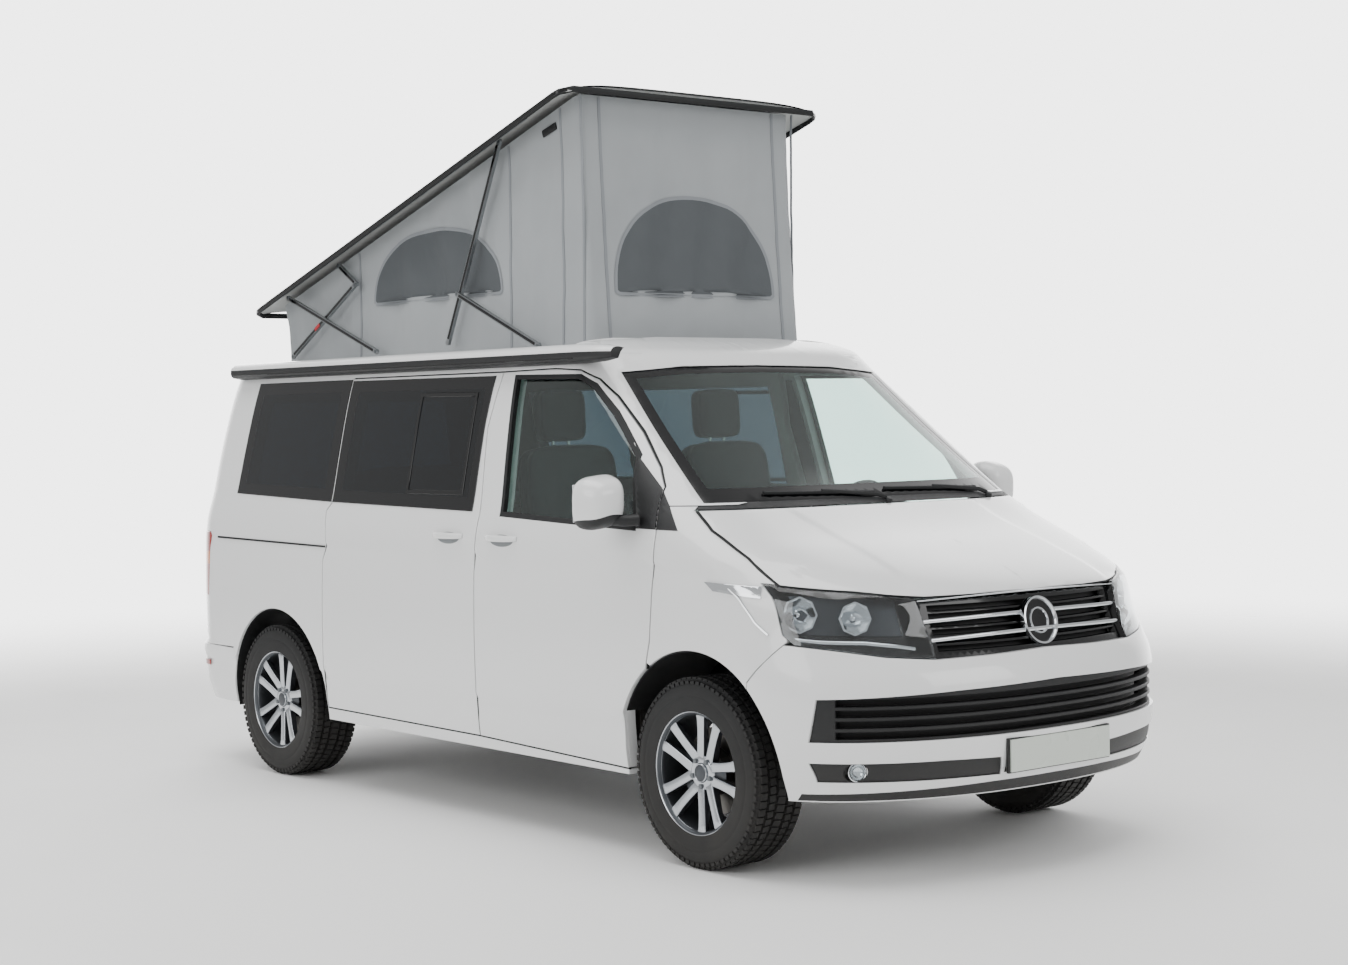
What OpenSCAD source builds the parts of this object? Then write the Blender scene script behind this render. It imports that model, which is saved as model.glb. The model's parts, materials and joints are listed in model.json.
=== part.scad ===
// Camper van with a raised pop-up roof: body panels, doors, running gear and roof linkage.
// X points forward, Y to the left, Z up; the origin is on the ground, mid length and mid width.

/* [Body] */
// Overall length between the bumper faces
body_length = 4904; // [4750:1:5900]
// Overall width of the body without its mirrors
body_width = 1904; // [1880:1:2300]
// Height of the flat roof that the pop-up panel closes on
roof_z = 1895; // [1860:1:2150]
// Distance from the nose to the front axle
front_overhang = 908; // [900:1:1000]
// Distance between the axles
wheelbase = 3000; // [2900:1:3500]
// Thickness of side walls and doors, measured level
wall = 60; // [40:1:80]
// Depth of the bonnet and tailgate shells, measured level
lid_depth = 80; // [60:1:95]
// Gap between a door, lid or bumper and the panel beside it
panel_gap = 6; // [5:0.5:8]
// Thickness of the glass
glass_t = 5; // [4:0.5:8]
// Top of the cabin floor
floor_z = 570; // [500:1:620]
// Bottom edge of the body
sill_z = 300; // [260:1:340]

/* [Wheels] */
// Distance between the left and right wheel centre planes
track = 1628; // [1540:1:1640]
// Outer radius of a tyre
tyre_r = 345; // [300:1:380]
// Width of a tyre
tyre_w = 235; // [180:1:250]
// Radius of the rim where the tyre sits
rim_r = 216; // [180:1:250]
// Radius of the front wheel arch
front_arch_r = 442; // [420:1:460]
// Radius of the rear wheel arch
rear_arch_r = 425; // [405:1:440]

/* [Pop-up roof] */
// Angle that the roof panel is raised by
roof_angle = 17.06; // [8:0.02:19]
// Length of the roof panel
panel_length = 2676; // [2600:1:2800]
// Half width of the roof panel
panel_half = 703; // [690:1:720]
// Half width of the tent
tent_half = 572; // [540:1:580]
// Height of a roof arm's flat bar
bar_h = 20; // [12:1:22]
// Thickness of a roof arm's flat bar
bar_t = 14; // [8:1:16]
// Radius of the pins in the roof linkage
pin_r = 6; // [3:0.5:8]

/* [Hidden] */

belt_z = 1300;
nose = body_length / 2;
tail = -body_length / 2;
fa = nose - front_overhang;
ra = fa - wheelbase;
half = body_width / 2;
far = 3000;
eps = 0.3;
bonnet_depth = 95;
lamp_depth = 120;
mount_y = 330;
cowl_half = 701.6;
tow_y = -560;
tow_r = 10;
cap_z = roof_z + 50;

// Control rows: height, then the inset from the widest point.
TUCK = [[300, 27], [400, 14], [520, 6], [800, 0], [1050, 3], [1150, 10], [1300, 46],
    [1500, 90], [1700, 138], [1826, 176], [1880, 194], [1912, 215], [1945, 290]];
NOSE = [[300, 60], [400, 10], [520, 0], [650, 0], [720, 14], [785, 48], [880, 92], [985, 127],
    [1010, 160], [1055, 250], [1130, 450], [1195, 650], [1255, 800], [1300, 895],
    [1826, 1582], [1880, 1640], [1912, 1720], [1945, 1850]];
TAIL = [[300, 60], [400, 12], [480, 0], [560, 8], [575, 50], [700, 48], [1100, 53],
    [1300, 80], [1500, 110], [1700, 150], [1826, 180], [1912, 230], [1945, 300]];
NOSE_DEPTH = [[300, 560], [985, 580], [1032, 560], [1120, 520], [1210, 450], [1300, 400],
    [1826, 330], [1945, 320]];
NOSE_POWER = [[300, 2.2], [985, 2.2], [1120, 2.5], [1210, 3], [1300, 3.5], [1500, 4], [1945, 4]];
TAIL_DEPTH = [[300, 430], [480, 450], [575, 430], [1100, 430], [1500, 400], [1826, 360],
    [1945, 330]];
TAIL_POWER = [[300, 2.6], [1100, 2.6], [1500, 2.8], [1945, 3]];
ROWS = [300, 400, 480, 560, 575, 650, 720, 785, 880, 985, 1055, 1130, 1195, 1255, 1300,
    1500, 1700, 1826, 1880, 1912, 1945];

// Heights above the belt follow the roof, and the lowest row follows the sill.
function up(z) = z <= belt_z ? (z <= 300 ? sill_z + z - 300 : z)
    : belt_z + (z - belt_z) * (roof_z - belt_z) / (1895 - belt_z);
function down(z) = z <= belt_z ? (z <= sill_z ? 300 : z)
    : belt_z + (z - belt_z) * (1895 - belt_z) / (roof_z - belt_z);
function side_w(z) = half - lookup(down(z), TUCK);
function nose_x(z) = nose - lookup(down(z), NOSE);
function tail_x(z) = tail + lookup(down(z), TAIL);

// Plan outline of the body at height z, moved inwards by off, anticlockwise from the nose.
front_steps = 8;
rear_steps = 4;
ring_n = 2 * front_steps + 2 * rear_steps + 2;
function ring(z, off) =
    let (w = side_w(z) - off, a = lookup(down(z), NOSE_DEPTH) - off,
        n = 2 / lookup(down(z), NOSE_POWER), x0 = nose_x(z) - off - a,
        b = lookup(down(z), TAIL_DEPTH) - off, m = 2 / lookup(down(z), TAIL_POWER),
        x1 = tail_x(z) + off + b)
    concat(
        [for (i = [0:front_steps]) let (t = 90 * i / front_steps)
            [x0 + a * pow(cos(t), n), w * pow(sin(t), n), z]],
        [for (i = [rear_steps:-1:0]) let (t = 90 * i / rear_steps)
            [x1 - b * pow(cos(t), m), w * pow(sin(t), m), z]],
        [for (i = [1:rear_steps]) let (t = 90 * i / rear_steps)
            [x1 - b * pow(cos(t), m), -w * pow(sin(t), m), z]],
        [for (i = [front_steps:-1:1]) let (t = 90 * i / front_steps)
            [x0 + a * pow(cos(t), n), -w * pow(sin(t), n), z]]);

// Solid of the body's outer form, moved inwards by off, over the control rows that span z0 to z1.
module form(off = 0, z0 = sill_z, z1 = cap_z) {
    last = len(ROWS) - 1;
    zs = [for (i = [0:last]) if ((i == last || up(ROWS[i + 1]) > z0) && (i == 0 || up(ROWS[i - 1]) < z1))
        up(ROWS[i])];
    m = len(zs) - 1;
    pts = [for (z = zs) each ring(z, off)];
    faces = concat(
        [[for (j = [0:ring_n - 1]) j]],
        [[for (j = [ring_n - 1:-1:0]) m * ring_n + j]],
        [for (i = [0:m - 1], j = [0:ring_n - 1])
            [i * ring_n + j, (i + 1) * ring_n + j, (i + 1) * ring_n + (j + 1) % ring_n]],
        [for (i = [0:m - 1], j = [0:ring_n - 1])
            [i * ring_n + j, (i + 1) * ring_n + (j + 1) % ring_n, i * ring_n + (j + 1) % ring_n]]);
    polyhedron(pts, faces);
}

// Shell of the body between two insets.
module skin(out_off, in_off, z0 = sill_z, z1 = cap_z) {
    difference() {
        form(out_off, z0, z1);
        union() {
            form(in_off, z0, z1);
            if (z0 <= sill_z) translate([0, 0, sill_z - 20]) linear_extrude(20.5) polygon(plan(sill_z, in_off));
        }
    }
}

// Outline in XZ extruded across the side that s names: 1 is left, -1 is right.
module side_prism(s, y0 = 0, y1 = 1200) {
    translate([0, s > 0 ? y1 : -y0, 0]) rotate([90, 0, 0]) linear_extrude(y1 - y0) children();
}

// Outline in YZ extruded along X from x0 to x1.
module end_prism(x0, x1) {
    translate([x0, 0, 0]) rotate([90, 0, 90]) linear_extrude(x1 - x0) children();
}

function cross2(a, b) = a[0] * b[1] - a[1] * b[0];
function unit(v) = v / norm(v);
// Outline shrunk by d, for an anticlockwise list of points.
function shrink(p, d) = [for (i = [0:len(p) - 1])
    let (a = p[(i + len(p) - 1) % len(p)], b = p[i], c = p[(i + 1) % len(p)],
        u = unit(b - a), v = unit(c - b), nu = [-u[1], u[0]], nv = [-v[1], v[0]])
    b + d * (nu + nv) / (1 + nu * nv)];
function mirrored(p) = concat(p, [for (i = [len(p) - 1:-1:0]) if (p[i][0] != 0) [-p[i][0], p[i][1]]]);

// Side outlines, anticlockwise seen from the right: X forward, Z up.
door_rear = [[fa - 1344, up(1812)], [fa - 1379, up(1584)], [fa - 1332, 1240], [fa - 1339, 1059],
    [fa - 1344, 738], [fa - 1347, 345]];
front_door_line = concat(door_rear, [[fa - 378, 320], [fa - 300, 320], [fa - 239, 723],
    [fa - 216, 808], [fa - 195, 1044], [fa - 191, 1199], [fa - 235, 1363],
    [fa - 300, up(1433)], [fa - 453, up(1565)], [fa - 627, up(1701)], [fa - 733, up(1769)],
    [fa - 837, up(1807)], [fa - 997, up(1816)]]);
front_glass_line = [[fa - 1184, 1240], [fa - 733, 1223], [fa - 315, 1209], [fa - 394, up(1476)],
    [fa - 584, up(1640)], [fa - 732, up(1747)], [fa - 825, up(1785)], [fa - 1251, up(1792)]];
sliding_door_line = concat([[ra + 496, up(1812)], [ra + 508, 1264], [ra + 475, 1230],
    [ra + 500, 1075], [ra + 472, 1008], [ra + 456, 530], [ra + 466, 352]],
    [for (i = [5:-1:0]) door_rear[i]]);
sliding_pane_line = [[ra + 516, up(1802)], [ra + 522, 1266], [fa - 1384, 1249],
    [fa - 1396, up(1584)], [fa - 1388, up(1798)]];
sliding_hole_line = [[ra + 570, up(1750)], [ra + 576, 1320], [fa - 1436, 1305],
    [fa - 1442, up(1748)]];
quarter_pane_line = [[tail + 648, up(1808)], [tail + 627, 1290], [ra + 494, 1266],
    [ra + 484, up(1808)]];
quarter_hole_line = [[tail + 710, up(1752)], [tail + 695, 1340], [ra + 430, 1322],
    [ra + 424, up(1754)]];
wing_line = [[fa - 239, 726], [fa - 20, 600], [fa + 310, 600], [fa + 316, 700], [fa + 470, 840],
    [fa + 470, 1023], [fa + 402, 1031], [fa + 237, 1119], [fa + 34, 1210], [fa - 83, 1280],
    [fa - 90, 1296], [fa - 222, 1296], [fa - 191, 1199], [fa - 195, 1044], [fa - 216, 808]];
bonnet_line = [[fa - 83, 1280], [fa + 34, 1210], [fa + 237, 1119], [fa + 402, 1031],
    [fa + 588, 1009], [fa + 714, 984], [nose + 50, 984], [nose + 50, 1280]];
front_bumper_line = [[fa + 300, sill_z - 5], [nose + 50, sill_z - 5], [nose + 50, 860],
    [fa + 488, 860], [fa + 316, 696]];
rear_bumper_line = [[tail - 50, sill_z - 5], [tail + 652, sill_z - 5], [tail + 628, 561],
    [tail + 359, 566], [tail - 50, 566]];
tail_lamp_line = [[tail - 50, 798], [tail + 389, 800], [tail + 420, 1107], [tail - 50, 1107]];

// Front and rear outlines: Y to the left, Z up.
screen_line = mirrored([[790, 1303], [681, up(1795)], [400, up(1817)], [0, up(1823)]]);
lamp_line = [[519, 982], [497, 829], [505, 779], [671, 793], [888, 833], [904, 865], [904, 1040]];
grille_line = mirrored([[518, 978], [496, 829], [504, 777], [250, 780], [0, 787]]);
bumper_top_line = mirrored([[960, sill_z - 5], [960, 840], [888, 830], [671, 790], [505, 776],
    [250, 780], [0, 787]]);
low_grille_line = mirrored([[891, 509], [877, 655], [454, 672], [0, 682]]);
fog_strip_line = [[275, 368], [864, 373], [887, 438], [492, 436], [283, 430]];
tailgate_line = mirrored([[785, 585], [785, 1120], [742, up(1500)], [690, up(1800)],
    [560, up(1822)]]);
rear_pane_line = mirrored([[700, 1200], [664, up(1500)], [610, up(1770)]]);
rear_hole_line = mirrored([[640, 1250], [606, up(1500)], [560, up(1720)]]);

// Wheel arches in side view.
module front_arch() {
    intersection() {
        translate([fa + 19, tyre_r]) circle(front_arch_r, $fn = 72);
        translate([fa - 386, 0]) square([1200, 1200]);
    }
}
module rear_arch() { translate([ra + 36, tyre_r]) circle(rear_arch_r, $fn = 72); }
module roof_zone() {
    polygon([[-far, up(1870)], [fa - 744, up(1870)], [fa - 704, up(1822)], [far, up(1822)],
        [far, 2600], [-far, 2600]]);
}

// Body frame of one side: pillars, sill, top rail and rear quarter, without doors or wings.
module side_frame(s) {
    difference() {
        intersection() {
            skin(0, wall, sill_z, up(1872));
            side_prism(s, 0, 1200) difference() {
                translate([-far, 0]) square([far + fa - 30, 2300]);
                roof_zone();
                polygon(shrink(front_door_line, -panel_gap / 2));
                translate([fa - 385, 0]) square([far, 1296]);
                if (s < 0) polygon(shrink(sliding_door_line, -panel_gap / 2));
                if (s > 0) polygon(sliding_hole_line);
                polygon(quarter_hole_line);
                rear_arch();
                polygon(rear_bumper_line);
                translate([-far, 0]) square([far + tail + 629, 566]);
                polygon(tail_lamp_line);
            }
        }
        end_prism(fa - 800, nose) polygon(screen_line);
        end_prism(tail - 50, tail + 400) polygon(shrink(tailgate_line, -panel_gap / 2));
        translate([fa - 385, -1200, 0]) cube([2000, 2400, 1296]);
    }
}

// Fixed roof: header, front cap and the flat deck around the tent's opening.
module roof_shell() {
    color("white") difference() {
        intersection() {
            form(0, up(1810), cap_z);
            side_prism(1, -1200, 1200) roof_zone();
        }
        translate([-far, -1200, roof_z]) cube([far + fa - 944, 2400, 400]);
        translate([ra + 90 - 470, -tent_half + 22, 1500])
            cube([fa - 1065 - ra - 90 + 470, 2 * tent_half - 44, 800]);
        translate([fa - 960, -620, 1500]) cube([130, 1240, up(1900) - 1500]);
        end_prism(fa - 800, nose) polygon(screen_line);
        end_prism(tail - 50, tail + 400) polygon(shrink(tailgate_line, -panel_gap / 2));
    }
}

// Cabin floor with its sill boxes and the boxes over the rear wheels.
module floor_pan() {
    wheel_box = tyre_r + tyre_r + 120;
    color("dimgray") difference() {
        union() {
            for (r = [[wall + 10, tail + 653, fa - 164], [lid_depth, tail, tail + 654]]) intersection() {
                form(r[0], floor_z - 30, floor_z);
                translate([r[1], -1000, floor_z - 30]) cube([r[2] - r[1], 2000, 30]);
            }
            intersection() {
                form(lid_depth + eps, floor_z, 640);
                translate([tail, -40, floor_z - 1]) cube([240, 80, 71]);
            }
            for (s = [-1, 1]) {
                intersection() {
                    form(wall, sill_z, sill_z + 16);
                    translate([ra + 500, s > 0 ? 760 : -960, sill_z]) cube([fa - 400 - ra - 500, 200, 16]);
                }
                translate([ra + 500, s > 0 ? 770 : -850, sill_z + 15])
                    cube([fa - 400 - ra - 500, 80, floor_z - sill_z - 25]);
                intersection() {
                    form(wall + eps, 400, 440);
                    translate([fa - 944, s > 0 ? 840 : -940, 400]) cube([60, 100, 40]);
                }
                translate([ra - 400, s > 0 ? 640 : -half + wall + 12, floor_z - 1])
                    cube([800, half - wall - 12 - 640, wheel_box - floor_z + 1]);
                translate([tail + 135, s > 0 ? 380 : -440, 400]) cube([ra - 250 - tail - 135, 60, 150]);
            }
            intersection() {
                form(lid_depth + eps, 400, floor_z);
                translate([tail, -450, 400]) cube([150, 900, 150]);
            }
        }
        for (s = [-1, 1]) {
            translate([ra - 390, s > 0 ? 650 : -1000, -1]) cube([780, 350, wheel_box - 9]);
            translate([fa - 400, s > 0 ? 495 : -1000, -1]) cube([800, 505, 900]);
        }
    }
}

// Bulkhead with its wheelhouses, rails, radiator support and crash beam behind the bumper.
module front_structure() {
    house_y = 495;
    house_z = 2 * tyre_r + 120;
    color("gray") {
        difference() {
            intersection() {
                form(wall + 14, floor_z - 30, 1262);
                union() {
                    translate([fa - 164, -1000, floor_z - 30]) cube([24, 2000, 1262 - floor_z + 30]);
                    for (s = [-1, 1]) {
                        translate([fa - 440, s > 0 ? house_y - 10 : -1000, floor_z])
                            cube([300, 1010 - house_y, house_z + 10 - floor_z]);
                    }
                }
            }
            for (s = [-1, 1]) translate([fa - 428, s > 0 ? house_y : -1000, 0])
                cube([600, 1000 - house_y, house_z]);
        }
        for (s = [-1, 1]) {
            translate([fa - 640, s > 0 ? 430 : -490, 440]) cube([1240, 60, 100]);
            intersection() {
                form(lamp_depth + eps, 820, 880);
                translate([fa + 420, s > 0 ? 400 : -1000, 820]) cube([180, 600, 60]);
            }
        }
        difference() {
            intersection() {
                form(lid_depth, 440, 570);
                translate([fa + 590, -760, 440]) cube([400, 1520, 130]);
            }
            translate([fa + 656, tow_y, 530]) rotate([0, 90, 0]) cylinder(h = 400, r = 24, $fn = 64);
            translate([fa + 580, tow_y, 530]) rotate([0, 90, 0]) cylinder(h = 90, r = tow_r, $fn = 64);
        }
        translate([fa + 590, -420, 569]) cube([40, 840, 390]);
        intersection() {
            form(bonnet_depth + eps, 958, 1100);
            translate([fa + 590, -40, 958]) cube([40, 80, 142]);
        }
    }
}

module engine_block() {
    color("dimgray") translate([fa - 80, -mount_y, 420]) cube([560, 2 * mount_y, 520]);
}

module front_wings() {
    color("white") for (s = [-1, 1]) difference() {
        intersection() {
            skin(0, wall, 500, 1310);
            side_prism(s, 200, 1200) difference() {
                polygon(shrink(wing_line, panel_gap / 2));
                front_arch();
                polygon(shrink(front_door_line, -panel_gap / 2));
            }
        }
        end_prism(fa + 200, nose + 50) polygon(lamp_line);
        mirror([0, 1, 0]) end_prism(fa + 200, nose + 50) polygon(lamp_line);
        side_prism(s, 0, 1200) polygon(shrink(front_bumper_line, -0.2));
    }
}

module front_bumper() {
    color("white") difference() {
        intersection() {
            skin(0, lid_depth, sill_z, 860);
            side_prism(1, -1200, 1200) difference() {
                polygon(front_bumper_line);
                front_arch();
            }
            end_prism(fa, nose + 50) polygon(bumper_top_line);
        }
        end_prism(fa + 500, nose + 50) polygon(low_grille_line);
        for (m = [0, 1]) mirror([0, m, 0]) end_prism(fa + 500, nose + 50) polygon(fog_strip_line);
        translate([nose - 28, -262, 374]) cube([100, 524, 116]);
    }
}

// Black lower grille with its bars, and the strips that carry the fog lamps.
module bumper_grille() {
    color("black") {
        difference() {
            intersection() {
                skin(12, lid_depth - 10, 490, 700);
                end_prism(fa + 500, nose + 50) polygon(shrink(low_grille_line, 0.2));
            }
            for (i = [0:3]) translate([fa + 400, -720, 518 + 38 * i]) cube([nose, 1440, 24]);
        }
        for (i = [-2:2]) intersection() {
            skin(20, lid_depth - 20, 515, 660);
            translate([fa + 500, i * 300 - 8, 515]) cube([nose, 16, 145]);
        }
        for (m = [0, 1]) mirror([0, m, 0]) intersection() {
            skin(8, lid_depth - 10, 360, 445);
            end_prism(fa + 500, nose + 50) polygon(shrink(fog_strip_line, 0.2));
        }
    }
}

module radiator_grille() {
    color("black") {
        difference() {
            intersection() {
                skin(14, lid_depth - 10, 770, 984);
                end_prism(fa + 500, nose + 50) polygon(grille_line);
            }
            for (i = [0:4]) translate([fa + 500, -450, 808 + 32 * i]) cube([nose, 900, 20]);
        }
        translate([nose - 200, 0, 876]) rotate([0, 90 - 12, 0]) cylinder(h = 112, r = 88, $fn = 64);
    }
}

module headlights() {
    color("lightgray") for (m = [0, 1]) mirror([0, m, 0]) intersection() {
        skin(0, lamp_depth, 770, 1060);
        end_prism(fa + 250, nose + 50) polygon(shrink(lamp_line, 0.3));
        side_prism(1, 400, 1200) difference() {
            square([far, 2000]);
            polygon(shrink(bonnet_line, -panel_gap / 2));
        }
    }
}

module windscreen() {
    color("lightblue") intersection() {
        skin(8, 18, 1290, up(1840));
        end_prism(fa - 760, nose) polygon(shrink(screen_line, 0.2));
    }
}

// Black tray between bonnet and windscreen, and two wipers parked over the glass edge.
module cowl_and_wipers() {
    color("black") {
        intersection() {
            difference() {
                translate([0, 0, 1240]) linear_extrude(48) polygon(plan(1300, -14));
                translate([0, 0, 1200]) linear_extrude(100) polygon(plan(1300, 130));
            }
            translate([fa - 140, -cowl_half, 1000]) cube([600, 2 * cowl_half, 400]);
        }
        for (y = [30, 620]) intersection() {
            skin(-14, -4, 1285, 1345);
            end_prism(fa - 200, nose) polygon([[y, 1286], [y + 24, 1286], [y + 24, 1310],
                [y - 560, 1338], [y - 560, 1326], [y, 1298]]);
            translate([0, 0, 1200]) linear_extrude(200) polygon(plan(1300, -15));
        }
        for (y = [42, 632]) translate([plan_x(1300, y, -9), y, 1280]) cylinder(h = 22, r = 9, $fn = 32);
    }
}
function plan(z, off) = [for (p = ring(z, off)) [p[0], p[1]]];
function plan_x(z, y, off) = let (n = lookup(z, NOSE_POWER), a = lookup(z, NOSE_DEPTH) - off)
    nose_x(z) - off - a * (1 - pow(1 - pow(abs(y) / (side_w(z) - off), n), 1 / n));

// Fixed panes in the rear quarters and in the left side.
module side_glass() {
    color("darkslategray") {
        for (s = [-1, 1]) intersection() {
            skin(-glass_t, 0, 1200, up(1830));
            side_prism(s, 200, 1200) polygon(quarter_pane_line);
        }
        intersection() {
            skin(-glass_t, 0, 1200, up(1830));
            side_prism(1, 200, 1200) polygon(sliding_pane_line);
        }
    }
}

// Sliding door with the two guides that run along the floor's edge.
module sliding_door() {
    color("white") {
        intersection() {
            skin(0, wall, sill_z, up(1850));
            side_prism(-1, 200, 1200) difference() {
                polygon(shrink(sliding_door_line, panel_gap / 2));
                polygon(sliding_hole_line);
            }
        }
        intersection() {
            skin(wall - 1, wall + 10, 520, 600);
            for (x = [ra + 640, fa - 1500]) translate([x, -1200, floor_z - 28]) cube([80, 1200, 26]);
        }
    }
}

module sliding_door_glass() {
    color("darkslategray") intersection() {
        skin(-glass_t, 0, 1200, up(1830));
        side_prism(-1, 200, 1200) polygon(shrink(sliding_pane_line, 2));
    }
}

// Awning cassette along the right roof edge.
module awning() {
    color("black") difference() {
        translate([tail + 454, 0, 0]) rotate([90, 0, 90]) linear_extrude(fa - 600 - tail - 454)
            polygon([[-700, up(1862)], [-side_w(up(1826)), up(1826)], [-half + 122, up(1838)],
                [-half + 112, up(1850)], [-half + 112, up(1880)], [-half + 134, roof_z + 8],
                [-half + 190, roof_z + 12], [-half + 205, roof_z], [-700, roof_z]]);
        form(0, up(1780), roof_z + 0.01);
    }
}

module rear_bumper() {
    color("white") intersection() {
        skin(0, lid_depth, sill_z, 575);
        side_prism(1, -1200, 1200) difference() {
            polygon(shrink(rear_bumper_line, 0.3));
            rear_arch();
        }
    }
}

module tail_lights() {
    color("darkred") for (s = [-1, 1]) difference() {
        intersection() {
            skin(0, wall - 5, 780, 1120);
            side_prism(s, 200, 1200) polygon(shrink(tail_lamp_line, 0.3));
        }
        end_prism(tail - 50, tail + 400) polygon(shrink(tailgate_line, -panel_gap));
    }
}

module front_door(s) {
    lip = 18;
    step_back = panel_gap / 2 + 18;
    color("white") difference() {
        intersection() {
            skin(0, wall, sill_z, up(1850));
            side_prism(s, 200, 1200) difference() {
                polygon(shrink(front_door_line, panel_gap / 2));
                polygon(front_glass_line);
                translate([-panel_gap, 0]) front_arch();
            }
        }
        intersection() {
            form(lip, sill_z, up(1850));
            side_prism(s, 200, 1200) polygon(concat(
                [for (p = door_rear) p + [step_back, p[1] > 1500 ? 8 : 0]],
                [for (i = [len(door_rear) - 1:-1:0]) door_rear[i] + [60 + step_back - 200, 0]]));
        }
    }
}

module front_door_glass(s) {
    color("lightblue") intersection() {
        skin(18, 18 + glass_t, 1200, up(1810));
        side_prism(s, 200, 1200) polygon(front_glass_line);
    }
}

// Door mirror: foot, arm and head.
module mirror_body(s) {
    color("black") difference() {
        mirror([0, s > 0 ? 0 : 1, 0]) mirror_form();
        form(0, 1150, 1350);
    }
}
module mirror_form() {
    hull() {
        translate([fa - 330, half - 44, 1222]) cube([90, 10, 60]);
        translate([fa - 340, half + 40, 1228]) cube([70, 10, 46]);
    }
    hull() {
        for (x = [fa - 415, fa - 325], y = [half + 45, half + 155], z = [1246, 1372])
            translate([x, y, z]) sphere(36, $fn = 28);
    }
}

module tailgate() {
    color("white") difference() {
        intersection() {
            skin(0, lid_depth, 570, up(1835));
            end_prism(tail - 50, tail + 500) difference() {
                polygon(shrink(tailgate_line, panel_gap / 2));
                polygon(rear_hole_line);
            }
        }
        translate([tail + 44, -262, 884]) cube([12, 524, 116]);
    }
}

module tailgate_glass() {
    color("darkslategray") intersection() {
        skin(-glass_t, 0, 1190, up(1790));
        end_prism(tail - 50, tail + 500) polygon(rear_pane_line);
    }
}

module bonnet() {
    color("white") difference() {
        intersection() {
            skin(0, bonnet_depth, 980, 1280);
            side_prism(1, -1200, 1200) polygon(shrink(bonnet_line, panel_gap / 2));
        }
        translate([0, 0, 1000]) linear_extrude(400) polygon(plan(1300, -22));
    }
}

module number_plates() {
    color("lightgray") {
        translate([nose - 14, -260, 376]) cube([12, 520, 112]);
        translate([nose - 27.5, -240, 396]) cube([14, 480, 72]);
    }
}

// Tyre with its axle along Y, centred on the origin.
module tyre() {
    color("black") rotate([90, 0, 0]) rotate_extrude($fn = 96) polygon([
        [rim_r + 0.3, -tyre_w / 2 + 12], [rim_r + 24, -tyre_w / 2], [tyre_r - 60, -tyre_w / 2],
        [tyre_r - 16, -tyre_w / 2 + 12], [tyre_r - 4, -tyre_w / 2 + 34], [tyre_r, -tyre_w / 2 + 60],
        [tyre_r, tyre_w / 2 - 60], [tyre_r - 4, tyre_w / 2 - 34], [tyre_r - 16, tyre_w / 2 - 12],
        [tyre_r - 60, tyre_w / 2], [rim_r + 24, tyre_w / 2], [rim_r + 0.3, tyre_w / 2 - 12]]);
}

// Outline of the rim's face: hub, five paired spokes and an outer band.
module rim_face() {
    circle(62, $fn = 64);
    for (k = [0:4], e = [-1, 1]) rotate(72 * k) translate([e * 27, 0]) rotate(-e * 5)
        translate([-13, 44]) square([26, rim_r - 56]);
    difference() {
        circle(rim_r - 6, $fn = 96);
        circle(rim_r - 24, $fn = 96);
    }
}

// Rim with its brake disc and hub; its outer face is towards +Y.
module rim() {
    disc_y = -14;
    color("silver") rotate([-90, 0, 0]) {
        rotate_extrude($fn = 96) polygon([
            [rim_r + 12, -tyre_w / 2 + 6], [rim_r, -tyre_w / 2 + 12], [rim_r, tyre_w / 2 - 12],
            [rim_r + 12, tyre_w / 2 - 6], [rim_r + 12, tyre_w / 2 - 1], [rim_r - 6, tyre_w / 2 - 1],
            [rim_r - 16, tyre_w / 2 - 16], [rim_r - 16, -tyre_w / 2 + 16],
            [rim_r - 6, -tyre_w / 2 + 1], [rim_r + 12, -tyre_w / 2 + 1]]);
        translate([0, 0, tyre_w / 2 - 46]) linear_extrude(24) rim_face();
        rotate_extrude($fn = 96) polygon([[0, disc_y], [rim_r - 58, disc_y], [rim_r - 58, 10],
            [48, 10], [48, tyre_w / 2 - 60], [58, tyre_w / 2 - 60], [58, tyre_w / 2 - 20],
            [30, tyre_w / 2 - 16], [0, tyre_w / 2 - 16]]);
    }
}

module wheel_at(x, s) {
    translate([x, s * track / 2, tyre_r]) mirror([0, s > 0 ? 0 : 1, 0]) children();
}

// Hub carrier with caliper; it steers with the wheel.
module knuckle(s) {
    color("dimgray") wheel_at(fa, s) {
        rotate([90, 0, 0]) translate([0, 0, 14.5]) cylinder(h = 75, r = 55, $fn = 64);
        translate([-176, -52, -50]) cube([70, 36, 100]);
        translate([-120, -80, -30]) cube([90, 28, 60]);
        translate([-176, -80, -50]) cube([70, 29, 100]);
    }
}

module front_suspension() {
    inner = track / 2 - 96;
    ball_y = track / 2 - 70;
    color("black") for (s = [-1, 1]) mirror([0, s > 0 ? 0 : 1, 0]) {
        translate([fa - 40, mount_y, tyre_r - 110]) cube([80, ball_y - mount_y, 30]);
        translate([fa - 25, ball_y - 50, tyre_r - 81]) cube([50, 50, 26 - eps]);
        translate([fa - 200, mount_y, tyre_r - 110]) cube([400, 60, 206]);
        translate([fa, inner - 120, tyre_r - 90]) cylinder(h = 560, r = 26, $fn = 48);
        translate([fa - 40, 430, tyre_r + 440]) cube([80, inner - 90 - 430, 30]);
        translate([fa - 40, 430, 540]) cube([80, 40, tyre_r + 441 - 540]);
    }
}

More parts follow.
